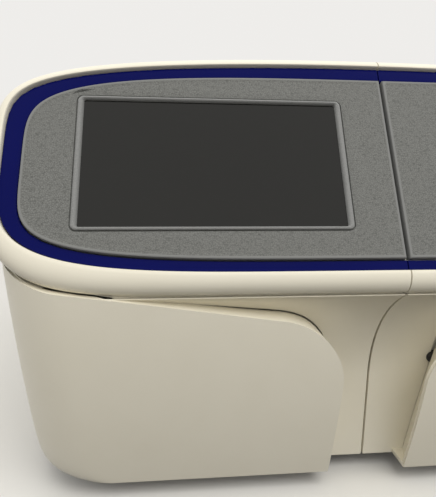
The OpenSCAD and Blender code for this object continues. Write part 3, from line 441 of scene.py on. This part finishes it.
def right_plate():
    """The plain plate: rows from its rear edge over the lip to the middle of the field."""
    centre = np.array([FASCIA_LINE[0] / 2, 4.0])
    angles = corner_angles([plate_line(0)[[0, FINE - 1]]], centre)

    def row(by, w, lip):
        return ring_rows(plate_line(by), centre, angles), w, lip

    rim_rows = [row(0, -FASCIA_T, 1), row(0, -0.9, 1), row(0.35, -0.22, 1), row(0.9, 0, 1),
                row(LIP_W, 0, 1), row(LIP_W + 0.5, -LIP_STEP, 0), row(LIP_W + 2.5, -LIP_STEP, 0)]
    edge = rim_rows[-1][0]
    rows = rim_rows + [(centre + share * (edge - centre), -LIP_STEP, 0)
                       for share in (0.8, 0.6, 0.4, 0.2, 0.05)]
    grid, lips = stack_rows(rows)
    count, cols = grid.shape[:2]
    faces = quads(count, cols, close_cols=True).tolist()
    faces += [list(range(cols))[::-1], [(count - 1) * cols + c for c in range(cols)]]
    return (grid.reshape(-1, 3), faces), lips


plate, lips = left_plate()
build("plate_left", mirrored([plate]), "cabinet", "grey_fascia", ["left_fascia"], smooth=35,
      marks=lips)
plate, lips = right_plate()
build("plate_right", [plate], "visor", "grey_fascia", ["right_fascia"], smooth=35, marks=lips)

# %% [markdown]
# ## Screen frame
# A bevelled bezel stands a millimetre proud of the face plate and slopes down to the glass,
# which lies a little deeper. It is one rounded-rectangle path with a cross section of nine
# points, closed both ways. Its long sides are slimmer than its short ones.

# %% Screen frame
def screen_bezel():
    """The section runs from the glass up the inner slope, over the crest and down the outer
    side, each point given as (share of the frame's width in from its outer edge, height)."""
    section = [(1.0, -GLASS_DEEP), (0.98, -0.9), (0.84, 0.1), (0.68, 0.75), (0.52, FRAME_PROUD),
               (0.28, FRAME_PROUD - 0.1), (0.12, 0.6), (0.02, 0.05), (0, -GLASS_DEEP)]
    centre = np.array([SCREEN_X, SCREEN_UP])
    rows = []
    for share, w in section:
        loop = centre + round_rect(frame_outer[0] - 2 * FRAME_SIDE * share,
                                   frame_outer[1] - 2 * FRAME_END * share,
                                   frame_outer[2] - FRAME_END * share, 64)
        rows.append(np.concatenate([loop, np.full((len(loop), 1), w)], -1))
    return torus(on_visor(np.stack(rows)))


build("screen_bezel", [screen_bezel()], "cabinet", "grey_fascia", ["screen_frame"], smooth=30)

# %% [markdown]
# ## Wing doors
# Each door is a thin shell that wraps the corner of the machine: its plan is a straight front,
# a round corner and a short side, its foot is narrower than its top, and its free corner is a
# large arc. A returned edge runs back from the skin to the neck. The outer skin is one grid,
# columns along the plan and rows up to the top edge. The returned edge and the floor are two
# more grids that share the skin's border. The two doors differ at their free edge: the right
# one reaches nearer to the seam, and its returned edge spreads outward as it runs back. A
# Solidify modifier gives the wall its three millimetres and a bevel softens the border.

# %% Door curves
RIGHT_IN, RIGHT_FLARE = 26.0, 0.55
DOOR_NEARER, DOOR_LIFT, DOOR_BEVEL = 0.9, 0.8, 1.4
NECK_GAP, COVE_GAP, SIDE_RETURN, LEAST_RETURN, FLARE_RISE = 0.4, 1.0, 30.0, 0.4, 85.0
# Places across, each from where a change starts to where it is complete.
NEARER_FROM, FLARE_FROM, LIFT_FROM, LIFT_TO = (90, 180), (75, 50), (110, 150), (212, 192)


def ramp(x, low, high):
    """0 below low, 1 above high and even between. With low above high it falls instead."""
    return np.clip((x - low) / (high - low), 0, 1)


def flank_x(z):
    """Half width at a height: a slow taper times a superellipse that turns in at the foot."""
    fall = np.clip(FLANK_Z - z, 0, None) / (FLANK_Z - FOOT_H)
    curve = (1 - np.minimum(fall, 0.99) ** FLANK_BEND[1]) ** (1 / FLANK_BEND[0])
    return SIDE_X * (1 - FLANK_TAPER * fall) * curve


def door_face(z):
    """Front of a door at a height: a parabola that leans out and then stands up."""
    h = z - FOOT_H
    return DOOR_FOOT_Y - 0.28 * h + 0.00062 * h * h


def door_edge_z(x):
    """Top edge of a door: a slope that sweeps up toward the outer corner. It lies nearer to the
    rim than the solid's edge does, by up to a millimetre."""
    sweep = SWEEP_RISE * (np.maximum(0, x - SWEEP_X) / (SIDE_X - SWEEP_X)) ** 2
    return DOOR_TOP + DOOR_SLOPE * (x - DOOR_IN) + sweep + DOOR_NEARER * ramp(x, *NEARER_FROM)


def cove_profile(count_arc=40):
    """Side view (y, z) of the neck and cove: upright, an arc of radius cove r through the
    cove's sweep, then the wall that leans back behind the visor."""
    t = np.radians(np.linspace(0, COVE_SWEEP, count_arc))
    arc = np.stack([NECK_Y - COVE_R + COVE_R * np.cos(t), COVE_Z + COVE_R * np.sin(t)], -1)
    return np.concatenate([[(NECK_Y, FOOT_H)], arc, [CHIN, WALL_TOP]])


def cove_back(z):
    """Front face of the neck and cove at a height."""
    line = cove_profile()
    return np.interp(z, line[:, 1], line[:, 0])


def door_skin(free_x, close=30, wide=91, rows=70, corner_share=0.09):
    """The skin's points. A column is a share of the plan's length, front then arc then side,
    and columns lie closer over the free corner. The plan is worked out at every height, and
    the height runs to that column's top edge, which a few rounds of halving settle."""
    corner = corner_share * (1 - np.cos(np.linspace(0, np.pi / 2, close)))
    share = np.unique(np.concatenate([corner, np.linspace(corner_share, 1, wide)[1:]]))

    def plan(s, z):
        """Point of the plan at share s and height z."""
        half, face, r = flank_x(z), door_face(z), DOOR_CORNER
        front = half - r - free_x
        arc = r * np.pi / 2
        side = DOOR_REAR_Y - (face + r)
        d = s * (front + arc + side)
        t = np.clip((d - front) / r, 0, np.pi / 2)
        x = free_x + np.minimum(d, front) + r * np.sin(t)
        y = face + r - r * np.cos(t) + np.clip(d - front - arc, 0, None)
        return x, y

    top = np.full(len(share), 160.0)
    for _ in range(12):
        x, y = plan(share, top)
        near = np.clip(1 - (x - free_x) / DOOR_R, 0, 1)
        target = door_edge_z(x) - DOOR_R * (1 - np.sqrt(1 - near ** 2))
        top = 0.5 * top + 0.5 * target
    foot = FOOT_H + DOOR_FOOT_GAP
    up = 1 - (1 - np.linspace(0, 1, rows)) ** 1.25
    z = foot + up[:, None] * (top - foot)[None, :]
    x, y = plan(np.broadcast_to(share, z.shape), z)
    return np.stack([x, y, z], -1)


def door_half(free_x, flare):
    """Skin, returned edge and floor. The return runs back to just short of the cove and rises
    a little toward the rim on the way. With a flare it also spreads outward near the free edge,
    by that share of its depth."""
    skin = door_skin(free_x)
    cols = skin.shape[1]
    edge = np.concatenate([skin[:-1, 0], skin[-1]])
    x, y, z = edge.T
    reach = np.where(x > COVE_OUT, y + SIDE_RETURN, cove_back(z) - COVE_GAP)
    reach = np.clip(reach, y + LEAST_RETURN, DOOR_REAR_Y)
    steps = np.linspace(0, 1, 9)[:, None]
    upward = 0.8 + 0.4 * ramp(z, FOOT_H, FOOT_H + FLARE_RISE)
    spread = flare * (reach - y) * ramp(x, *FLARE_FROM) * upward
    lift = DOOR_LIFT * ramp(x, *LIFT_FROM) * ramp(x, *LIFT_TO)
    back = np.stack([x + steps * spread, y + steps * (reach - y), z + steps ** 2 * lift], -1)
    floor = np.broadcast_to(skin[0], (len(steps), cols, 3)).copy()
    floor[..., 1] += steps * np.clip(NECK_Y - NECK_GAP - skin[0, :, 1], 0, None)
    return [(grid.reshape(-1, 3), quads(*grid.shape[:2]).tolist())
            for grid in (skin, back, floor)]


def shell_piece(name, parts, body, slot, replaces, wall, bevel):
    """A sheet given its wall: faces are first turned the same way, away from a point inside."""
    mesh = joined(name, parts)
    middle = Vector(MM * np.concatenate([p for p, _ in parts]).mean(0)) + Vector((0, 0.06, 0))
    work = bmesh.new()
    work.from_mesh(mesh)
    bmesh.ops.remove_doubles(work, verts=work.verts, dist=2e-5)
    bmesh.ops.dissolve_degenerate(work, edges=work.edges, dist=1e-6)
    bmesh.ops.recalc_face_normals(work, faces=work.faces)
    lean = sum(f.calc_area() * f.normal.dot(f.calc_center_median() - middle) for f in work.faces)
    if lean < 0:
        bmesh.ops.reverse_faces(work, faces=work.faces)
    work.to_mesh(mesh)
    work.free()
    piece = dress(name, mesh, body, slot, replaces, 40, 0)
    skin = piece.modifiers.new("wall", "SOLIDIFY")
    skin.thickness = wall * MM
    skin.offset = -1
    skin.use_even_offset = False
    edge = piece.modifiers.new("edge", "BEVEL")
    edge.width = bevel * MM
    edge.segments = 3
    edge.limit_method = "ANGLE"
    edge.angle_limit = math.radians(40)
    edge.harden_normals = True
    return piece


shell_piece("wing_right", door_half(RIGHT_IN, RIGHT_FLARE), "right_wing", "cream_shell",
            ["right_door"], DOOR_T, DOOR_BEVEL)
shell_piece("wing_left", mirrored(door_half(DOOR_IN, 0.0)), "left_wing", "cream_shell",
            ["left_door"], DOOR_T, DOOR_BEVEL)

# %% [markdown]
# ## Neck and cove
# Between the doors the front is a narrow neck that curves forward into a cove under the visor.
# The moulding's outer face is what a hand and the light meet, so it gets its own evenly spaced
# skin over the solid's facets: a grid with rows along the side view and columns across. Each
# column starts where the door's border leaves it open, and the right one starts further out,
# because its door reaches nearer to the seam. The slit down the middle is where two mouldings
# meet with a shadow gap.

# %% Neck and cove skins
FRONT_SEAM, SKIN_PROUD, SKIN_T, SKIN_BEVEL, SKIN_OUT = 1.7, 0.5, 0.42, 0.15, 192.0
RIGHT_BORDER, RIGHT_TUCK = 50.0, 2.0


def cove_skin(border_x, tuck):
    """Grids over the neck and cove. Columns nearer the seam than border_x run from the foot up
    to the cove's end, the others from the door's border, lowered by the tuck. Each point is
    the side view at a share of its length, moved out along the side view's normal."""
    line = cove_profile(60)[:-2]
    length = np.concatenate([[0], np.cumsum(np.linalg.norm(np.diff(line, axis=0), axis=1))])
    t = np.radians(np.linspace(0, COVE_SWEEP, 60))
    normal = np.concatenate([[[-1.0, 0.0]], np.stack([-np.cos(t), -np.sin(t)], -1)])

    def points(x, low_z, high):
        low = np.interp(low_z, line[:, 1], length)
        at = low[None, :] + np.linspace(0, 1, 60)[:, None] * (high - low)[None, :]
        y, z, ny, nz = (np.interp(at, length, q) for q in
                        (line[:, 0], line[:, 1], normal[:, 0], normal[:, 1]))
        return np.stack([np.broadcast_to(x, at.shape), y + SKIN_PROUD * ny,
                         z + SKIN_PROUD * nz], -1)

    inner = np.linspace(FRONT_SEAM / 2, border_x, 8)
    outer = border_x + (SKIN_OUT - border_x) * np.linspace(0, 1, 60) ** 1.6
    arc_r = DOOR_R + DOOR_GAP
    near = np.clip((DOOR_IN + DOOR_R - outer) / arc_r, 0, 1)
    border = (DOOR_TOP + DOOR_SLOPE * (outer - DOOR_IN) + DOOR_GAP
              - arc_r * (1 - np.sqrt(1 - near ** 2)) - tuck)
    border = np.minimum(border, line[-1, 1] - 0.5)
    upper = points(inner, np.full(8, border[0]), length[-1])
    lower = points(inner, np.full(8, FOOT_H), np.interp(border[0], line[:, 1], length))
    wide = points(outer, border, length[-1])
    return [(grid.reshape(-1, 3), quads(*grid.shape[:2]).tolist())
            for grid in (lower, upper, wide)]


shell_piece("cove_left", mirrored(cove_skin(DOOR_IN - DOOR_GAP, 0.0)), "cabinet", "cream_shell",
            ["left_front"], SKIN_T, SKIN_BEVEL)
shell_piece("cove_right", cove_skin(RIGHT_BORDER, RIGHT_TUCK), "cabinet", "cream_shell",
            ["right_front"], SKIN_T, SKIN_BEVEL)

# %% [markdown]
# ## Softening the other parts
# The remaining parts already have their right shape, but a solid model's edges are razor
# sharp and its curves are made of flats. A copy of each mesh is welded, its flat triangles are
# joined into whole faces, and then two things finish it: smooth shading across shallow
# angles, and a narrow bevel on sharp edges that catches the light as a moulded or deburred
# edge does.

# %% Softened copies of parts
def open_seam(mesh):
    """Moves the wall at the middle slit out to half the slit's width."""
    points = np.empty(3 * len(mesh.vertices))
    mesh.vertices.foreach_get("co", points)
    x = points[0::3]
    at_slit = np.abs(x) < SHELL_SEAM * MM
    x[at_slit] = np.sign(x[at_slit]) * FRONT_SEAM / 2 * MM
    mesh.vertices.foreach_set("co", points)


def soften(node, body, slot, bevel=0.3, smooth=28):
    """Copies a part's mesh, welds it, joins coplanar triangles and finishes the edges."""
    mesh = frame["nodes"][node].data.copy()
    mesh.materials.clear()
    if node in ("left_front", "right_front"):
        open_seam(mesh)
    work = bmesh.new()
    work.from_mesh(mesh)
    bmesh.ops.remove_doubles(work, verts=work.verts, dist=5e-6)
    bmesh.ops.dissolve_limit(work, angle_limit=math.radians(0.4), verts=work.verts,
                             edges=work.edges, delimit={"NORMAL"})
    bmesh.ops.triangulate(work, faces=[f for f in work.faces if len(f.verts) > 4])
    work.to_mesh(mesh)
    work.free()
    mesh.name = f"{node}_soft"
    return dress(f"{node}_soft", mesh, body, slot, [node], smooth, bevel)


slot_of = {row["node"]: row["material_slot"] for row in frame["record"]["subparts"]}
body_of = {node: body for body, nodes in frame["record"]["behaviour"]["bodies"].items()
           for node in nodes}
already = {"left_rim", "right_rim", "left_band", "right_band", "left_fascia", "right_fascia",
           "screen_frame", "left_door", "right_door"}
nodes_by_edge = {
    1.0: "optics_block", 0.8: "left_front right_front feet filter_frame", 0.7: "load_tray",
    0.6: "rocker left_bay right_bay objective_stage",
    0.5: "fluidics_block cartridge fan_frames bay_liner", 0.4: "power_inlet switch_body",
    0.2: "touch_glass", 0.15: "cover_screws data_ports",
    0.0: "cover rear_panel fan_guards left_rotor right_rotor heat_sink filter_pleats "
         "cartridge_wells sipper_block"}
edge_of = {node: width for width, names in nodes_by_edge.items() for node in names.split()}
for node in sorted(set(slot_of) - already):
    soften(node, body_of[node], slot_of[node], edge_of.get(node, 0.25))

# %% [markdown]
# ## A small language for materials
# A procedural finish is arithmetic on patterns. Wiring Math nodes by hand hides that, so one
# small class wraps a node's output and gives it the usual operators, and one method adds any
# other node from its type, its settings and the values or links of its sockets. Everything
# reads Object coordinates, so a pattern stays on its part when the part moves.

# %% Shader values and finishes
def srgb(r, g, b, a=1.0):
    """A colour as a screen shows it, 0 to 255, as the linear values that nodes work in."""
    linear = [((c / 255 + 0.055) / 1.055) ** 2.4 if c > 10.3 else c / 255 / 12.92
              for c in (r, g, b)]
    return (*linear, a)


class Tap:
    """A shader value. An operator between taps, or a tap and a number, adds a Math node."""

    def __init__(self, tree, socket):
        self.tree, self.socket = tree, socket

    def math(self, operation, *values):
        """A Math node of an operation, fed by taps and numbers."""
        node = self.tree.nodes.new("ShaderNodeMath")
        node.operation = operation
        for place, value in enumerate(values):
            if isinstance(value, Tap):
                self.tree.links.new(value.socket, node.inputs[place])
            else:
                node.inputs[place].default_value = value
        return Tap(self.tree, node.outputs[0])

    def __add__(self, other):
        return self.math("ADD", self, other)

    __radd__ = __add__

    def __sub__(self, other):
        return self.math("SUBTRACT", self, other)

    def __rsub__(self, other):
        return self.math("SUBTRACT", other, self)

    def __mul__(self, other):
        return self.math("MULTIPLY", self, other)

    __rmul__ = __mul__

    def clip(self):
        """Held between 0 and 1."""
        return self.math("MINIMUM", self.math("MAXIMUM", self, 0.0), 1.0)


class Finish:
    """One material under construction."""

    def __init__(self, name):
        self.material = bpy.data.materials.new(name)
        self.material.use_nodes = True
        self.tree = self.material.node_tree
        self.tree.nodes.clear()
        self.place = self.add("ShaderNodeTexCoord", out="Object")

    def add(self, kind, settings=None, values=None, out=0):
        """Adds a node: its settings first, then its sockets' values and links."""
        node = self.tree.nodes.new(kind)
        for key, value in (settings or {}).items():
            setattr(node, key, value)
        for key, value in (values or {}).items():
            socket = node.inputs[key]
            if isinstance(value, Tap):
                self.tree.links.new(value.socket, socket)
            else:
                socket.default_value = value
        return Tap(self.tree, node.outputs[out]) if node.outputs else None

    def noise(self, per_metre, detail=2.0, rough=0.5, stretch=None):
        """Noise with a given number of blobs to the metre, stretched along an axis if asked."""
        at = self.place
        if stretch:
            at = self.add("ShaderNodeMapping", None, {"Vector": at, "Scale": stretch})
        return self.add("ShaderNodeTexNoise", None, {"Vector": at, "Scale": per_metre,
                                                     "Detail": detail, "Roughness": rough})

    def cells(self, per_metre, feature="F1", out="Distance"):
        """Cells with a given number to the metre."""
        return self.add("ShaderNodeTexVoronoi", {"feature": feature},
                        {"Vector": self.place, "Scale": per_metre}, out)

    def blend(self, a, b, share):
        """Colour a turning into colour b."""
        return self.add("ShaderNodeMix", {"data_type": "RGBA"},
                        {"Factor": share, 6: a, 7: b}, 2)

    def bump(self, height, depth, strength):
        """A Bump node: depth in mm for a height of 1."""
        return self.add("ShaderNodeBump", None,
                        {"Height": height, "Distance": depth * MM, "Strength": strength})

    def close(self, **sockets):
        """Ends the material in a Principled shader; names use _ for a space."""
        values = {key.replace("_", " "): value for key, value in sockets.items()}
        shader = self.add("ShaderNodeBsdfPrincipled", None, values)
        self.add("ShaderNodeOutputMaterial", None, {"Surface": shader})
        return self.material

# %% [markdown]
# ## Cream covers
# The shells are painted mouldings: a warm off-white with a soft sheen. Up close such paint
# has an orange-peel ripple a few millimetres long, a finer grain under it, and a tone that
# drifts a little over a hand's width. Dust and handling dull it in faint patches.

# %% Cream paint
def cream_paint(name, light, shade, sheen):
    """Satin paint between two tones, with a base roughness."""
    f = Finish(name)
    drift = f.noise(7, 3)
    grain = f.noise(1400, 2)
    peel = f.noise(330, 2)
    handled = (f.noise(28, 4, 0.6) - 0.42).clip() * 1.6
    tone = (0.55 * drift + 0.25 * grain + 0.35 * handled).clip()
    return f.close(Base_Color=f.blend(light, shade, tone),
                   Roughness=sheen + 0.10 * handled + 0.05 * grain,
                   Normal=f.bump(peel + 0.25 * grain, 0.035, 0.6),
                   Coat_Weight=0.12, Coat_Roughness=0.25, Specular_IOR_Level=0.35)


cream = cream_paint("cream_paint", srgb(241, 236, 220), srgb(232, 226, 208), 0.36)
liner = cream_paint("liner_white", srgb(226, 224, 214), srgb(210, 207, 195), 0.5)

# %% [markdown]
# ## Navy inlay
# A smooth inlay is coloured right through. It is so dark and saturated that a strong sheen
# would turn it grey, so its reflection is held back, and its life comes from a barely visible
# flake and the small waves of a polished moulding.

# %% Navy gloss
def navy_gloss():
    """Deep blue with a faint flake and fine scuffs."""
    f = Finish("navy_gloss")
    flake = (f.cells(2600) * 1.4).clip()
    drift = f.noise(11, 2)
    wave = f.noise(60, 2)
    scuff = (f.noise(500, 3, 0.7, (1, 1, 0.2)) - 0.58).clip() * 2
    return f.close(Base_Color=f.blend(srgb(6, 11, 72), srgb(10, 16, 86),
                                      (0.6 * drift + 0.4 * flake).clip()),
                   Roughness=0.2 + 0.12 * scuff, Normal=f.bump(wave, 0.05, 0.25),
                   Coat_Weight=0.03, Coat_Roughness=0.08, Specular_IOR_Level=0.05)


navy = navy_gloss()

# %% [markdown]
# ## Grained face plate
# The grey field has a leather-like grain about a millimetre across: pebbles with dark
# valleys, broken by a finer speckle. Distances to the nearest cell edge draw the valleys. The
# lip attribute switches both the grain and its dark valleys off on the plain border, which
# reads a little lighter.

# %% Grained grey
def grained_grey(name, field, valley, lip_tone, lipped=True):
    """Grained plastic: field and valley tones, and the lip's tone where the plate is plain."""
    f = Finish(name)
    edge = f.cells(760, "DISTANCE_TO_EDGE")
    pebble = (edge * 5.5).clip()
    speckle = f.noise(1500, 3, 0.7)
    woven = f.noise(420, 2, 0.5, (1, 1, 2.2))
    drift = f.noise(9, 2)
    plain = (f.add("ShaderNodeAttribute", {"attribute_name": "lip"}, None, "Fac")
             if lipped else 0.0 * drift)
    rough_part = 1 - plain
    dark = ((1 - pebble) * 0.75 + (woven - 0.5) * 1.1 + (speckle - 0.5) * 0.8).clip() * rough_part
    ground = f.blend(field, valley, dark)
    ground = f.blend(ground, lip_tone, (plain * 0.8).clip())
    return f.close(Base_Color=ground, Roughness=0.5 + 0.12 * dark + 0.06 * drift,
                   Normal=f.bump((pebble + 0.3 * speckle) * rough_part, 0.12, 0.55),
                   Specular_IOR_Level=0.5)


grey = grained_grey("grained_grey", srgb(118, 119, 116), srgb(80, 81, 78), srgb(126, 127, 126))
bezel_grey = grained_grey("bezel_grey", srgb(138, 139, 138), srgb(124, 125, 124),
                          srgb(138, 139, 138), lipped=False)
tray_grey = grained_grey("tray_grey", srgb(128, 132, 138), srgb(104, 108, 114),
                         srgb(128, 132, 138), lipped=False)

# %% [markdown]
# ## Dark glass
# The display is off, so its glass is nearly black with an olive cast from the coating under
# it. Fingerprints and wiping marks show only in the reflection, so they go to roughness and
# to a slight lift of the colour.

# %% Touch glass
def touch_glass():
    """Near-black glass, wiped and touched."""
    f = Finish("touch_glass")
    wiped = (f.noise(34, 3, 0.6, (1, 1, 2.5)) - 0.45).clip()
    dabs = (0.5 - f.cells(55)).clip() * (f.noise(900, 2) - 0.3).clip()
    drift = f.noise(4, 1)
    return f.close(Base_Color=f.blend(srgb(15, 15, 12), srgb(21, 21, 17),
                                      (0.6 * drift + 0.5 * wiped).clip()),
                   Roughness=0.1 + 0.22 * wiped + 0.25 * dabs, Specular_IOR_Level=0.45)


glass = touch_glass()

# %% [markdown]
# ## Metals, rubber and small mouldings
# Sheet steel shows its rolling direction and a spangled plating, ground steel shows fine
# turning lines, and black mouldings have a spark-eroded grain. They share a few patterns with
# different scales.

# %% Metals
def sheet_metal(name, light, dark, rough, along=(1, 1, 0.05), metallic=0.9):
    """Metal with a grain stretched along the axis of the smallest share, and a spangle."""
    f = Finish(name)
    brushed = f.noise(900, 3, 0.6, along)
    spangle = f.cells(120, out="Color")
    spangle = f.add("ShaderNodeSeparateColor", None, {"Color": spangle}, "Red")
    drift = f.noise(12, 2)
    tone = (0.5 * brushed + 0.35 * spangle + 0.3 * drift - 0.1).clip()
    return f.close(Base_Color=f.blend(light, dark, tone), Metallic=metallic,
                   Roughness=rough + 0.18 * (brushed - 0.5) + 0.08 * spangle,
                   Normal=f.bump(brushed, 0.02, 0.3))


def moulded(name, light, dark, rough, grain_scale=1100, depth=0.05):
    """Grained moulding or rubber, with dust in patches."""
    f = Finish(name)
    grain = f.noise(grain_scale, 3, 0.6)
    drift = f.noise(16, 3)
    dust = (f.noise(60, 4, 0.7) - 0.5).clip()
    return f.close(Base_Color=f.blend(light, dark, (0.6 * grain + 0.5 * drift).clip()),
                   Roughness=rough + 0.15 * dust + 0.08 * grain,
                   Normal=f.bump(grain, depth, 0.5))


sheet = sheet_metal("sheet_metal", srgb(198, 200, 202), srgb(158, 161, 165), 0.36)
panel_paint = moulded("panel_paint", srgb(190, 190, 184), srgb(168, 168, 162), 0.5, 1500, 0.07)
ground_steel = sheet_metal("ground_steel", srgb(214, 215, 217), srgb(182, 184, 188), 0.24,
                           (0.05, 1, 1), 1.0)
alloy = sheet_metal("alloy", srgb(218, 220, 222), srgb(190, 192, 196), 0.3, (1, 0.06, 1), 1.0)
black = moulded("black_moulding", srgb(34, 34, 37), srgb(52, 52, 55), 0.42)
rubber = moulded("rubber", srgb(28, 28, 28), srgb(46, 45, 43), 0.75, 600, 0.12)
cap_blue = moulded("cap_blue", srgb(38, 78, 156), srgb(30, 62, 132), 0.38)
cartridge_grey = moulded("cartridge_grey", srgb(84, 96, 112), srgb(70, 80, 95), 0.45)
paper = moulded("filter_paper", srgb(238, 238, 230), srgb(206, 204, 190), 0.85, 2400, 0.1)
sealed = moulded("sealed_cup", srgb(206, 212, 216), srgb(184, 190, 196), 0.3, 900, 0.04)

# %% [markdown]
# ## Circuit board, bottles and glass
# The board's green mask lets copper tracks show as slightly lighter lines: a coarse brick
# pattern stands in for routing. Bottles are half-clear mouldings filled with a pale reagent,
# so they are drawn as a soft solid rather than as empty glass.

# %% Board and clear parts
def board():
    """Green mask with tracks and a few gilt pads."""
    f = Finish("circuit_board")
    tracks = f.add("ShaderNodeTexBrick", {"offset": 0.37, "squash": 0.6},
                   {"Vector": f.place, "Scale": 95.0, "Mortar Size": 0.03,
                    "Color1": srgb(22, 78, 46), "Color2": srgb(26, 92, 52),
                    "Mortar": srgb(96, 138, 84)}, "Color")
    pads = (0.12 - f.cells(240)).clip() * 8
    return f.close(Base_Color=f.blend(tracks, srgb(206, 190, 132), pads.clip()),
                   Roughness=0.38 + 0.1 * f.noise(200, 2), Metallic=0.6 * pads.clip())


def clear_moulding(name, light, dark, rough, clearness):
    """Half-clear moulding or glass."""
    f = Finish(name)
    drift = f.noise(40, 2)
    haze = f.noise(900, 2)
    return f.close(Base_Color=f.blend(light, dark, drift), Roughness=rough + 0.1 * haze,
                   Transmission_Weight=clearness, IOR=1.46, Coat_Weight=0.4,
                   Coat_Roughness=0.08, Normal=f.bump(haze, 0.02, 0.2))


board_green = board()
bottle_clear = clear_moulding("clear_moulding", srgb(214, 226, 232), srgb(196, 212, 222), 0.16,
                              0.55)
flow_glass = clear_moulding("flow_glass", srgb(206, 224, 226), srgb(184, 208, 214), 0.06, 0.8)

# %% [markdown]
# ## Giving each part its finish
# The record names a material slot for every part, so one table from slot to finish covers
# most of the machine. A few parts differ from their slot's main finish and are named.

# %% Assign finishes
finish_of_slot = {
    "cream_shell": cream, "liner_white": liner, "navy_band": navy, "grey_fascia": grey,
    "screen_glass": glass, "dark_plastic": black, "rubber_feet": rubber, "sheet_steel": sheet,
    "machined_steel": ground_steel, "aluminium": alloy, "clear_plastic": bottle_clear,
    "flow_glass": flow_glass, "cap_blue": cap_blue, "cartridge_grey": cartridge_grey,
    "filter_paper": paper, "board_green": board_green}
finish_of_piece = {"screen_bezel": bezel_grey, "load_tray_soft": tray_grey,
                   "rear_panel_soft": panel_paint, "cartridge_wells_soft": sealed}
for piece in made:
    finish = finish_of_piece.get(piece.name, finish_of_slot[piece["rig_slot"]])
    piece.data.materials.clear()
    piece.data.materials.append(finish)
print(len(made), "pieces,", len(bpy.data.materials), "finishes")

# %% [markdown]
# ## Table and light
# A pale table keeps the object's shadow, and everything the camera or a reflection sees past
# it is the same pale tone. The light is plain and soft: an even sky, one wide panel overhead
# and a weaker one to the left for the modelling of the corner, set so that a colour renders
# about as it is written. The table throws little light back up, as a dark bench would, so the
# leaning and hollow parts of the front fall off gently.

# %% Table
def seen_directly(tree):
    """1 for rays from the camera, a reflection or a clear part, and 0 for light's own rays."""
    outs = tree.nodes.new("ShaderNodeLightPath").outputs
    camera_ray, glossy_ray, clear_ray = (Tap(tree, outs[f"Is {kind} Ray"])
                                         for kind in ("Camera", "Glossy", "Transmission"))
    return (camera_ray + glossy_ray + clear_ray).clip()


def pale_table():
    """Pale where it is seen, dark for the light that it throws back."""
    f = Finish("pale_table")
    cloud = f.noise(2.5, 2)
    grain = f.noise(300, 2)
    pale = f.blend(srgb(232, 231, 228), srgb(226, 225, 221), (0.7 * cloud + 0.3 * grain).clip())
    return f.close(Base_Color=f.blend(srgb(70, 67, 62), pale, seen_directly(f.tree)),
                   Roughness=0.55 + 0.1 * cloud, Specular_IOR_Level=0.3)


table_mesh = bpy.data.meshes.new("table")
half_table = 6.0
corners = [(-half_table, -half_table, 0), (half_table, -half_table, 0),
           (half_table, half_table, 0), (-half_table, half_table, 0)]
table_mesh.from_pydata(corners, [], [(0, 1, 2, 3)])
table_mesh.materials.append(pale_table())
table = bpy.data.objects.new("table", table_mesh)
scene.collection.objects.link(table)

# %% World
world = bpy.data.worlds.new("studio")
scene.world = world
world.use_nodes = True
tree = world.node_tree
tree.nodes.clear()
ambient, backdrop = 0.78, 0.86
sky = tree.nodes.new("ShaderNodeBackground")
sky.inputs["Color"].default_value = (1.0, 0.985, 0.96, 1)
strength = ambient + (backdrop - ambient) * seen_directly(tree)
tree.links.new(strength.socket, sky.inputs["Strength"])
out = tree.nodes.new("ShaderNodeOutputWorld")
tree.links.new(sky.outputs[0], out.inputs[0])

# %% Lamps
def lamp(name, place, aim, size, watts, tint):
    """A square soft panel at a place, turned to face an aim point."""
    data = bpy.data.lights.new(name, "AREA")
    data.shape, data.size, data.energy, data.color = "SQUARE", size, watts, tint
    panel = bpy.data.objects.new(name, data)
    turn = (Vector(aim) - Vector(place)).to_track_quat("-Z", "Y")
    panel.matrix_world = Matrix.Translation(place) @ turn.to_matrix().to_4x4()
    panel.visible_glossy = False
    scene.collection.objects.link(panel)


lamp("overhead", (0.35, -1.3, 2.0), (0, -0.25, 0.25), 1.5, 27, (1.0, 0.985, 0.95))
lamp("left", (-1.9, -1.1, 1.1), (-0.1, -0.2, 0.18), 1.2, 3, (1.0, 0.97, 0.92))
scene.view_settings.view_transform = "Standard"
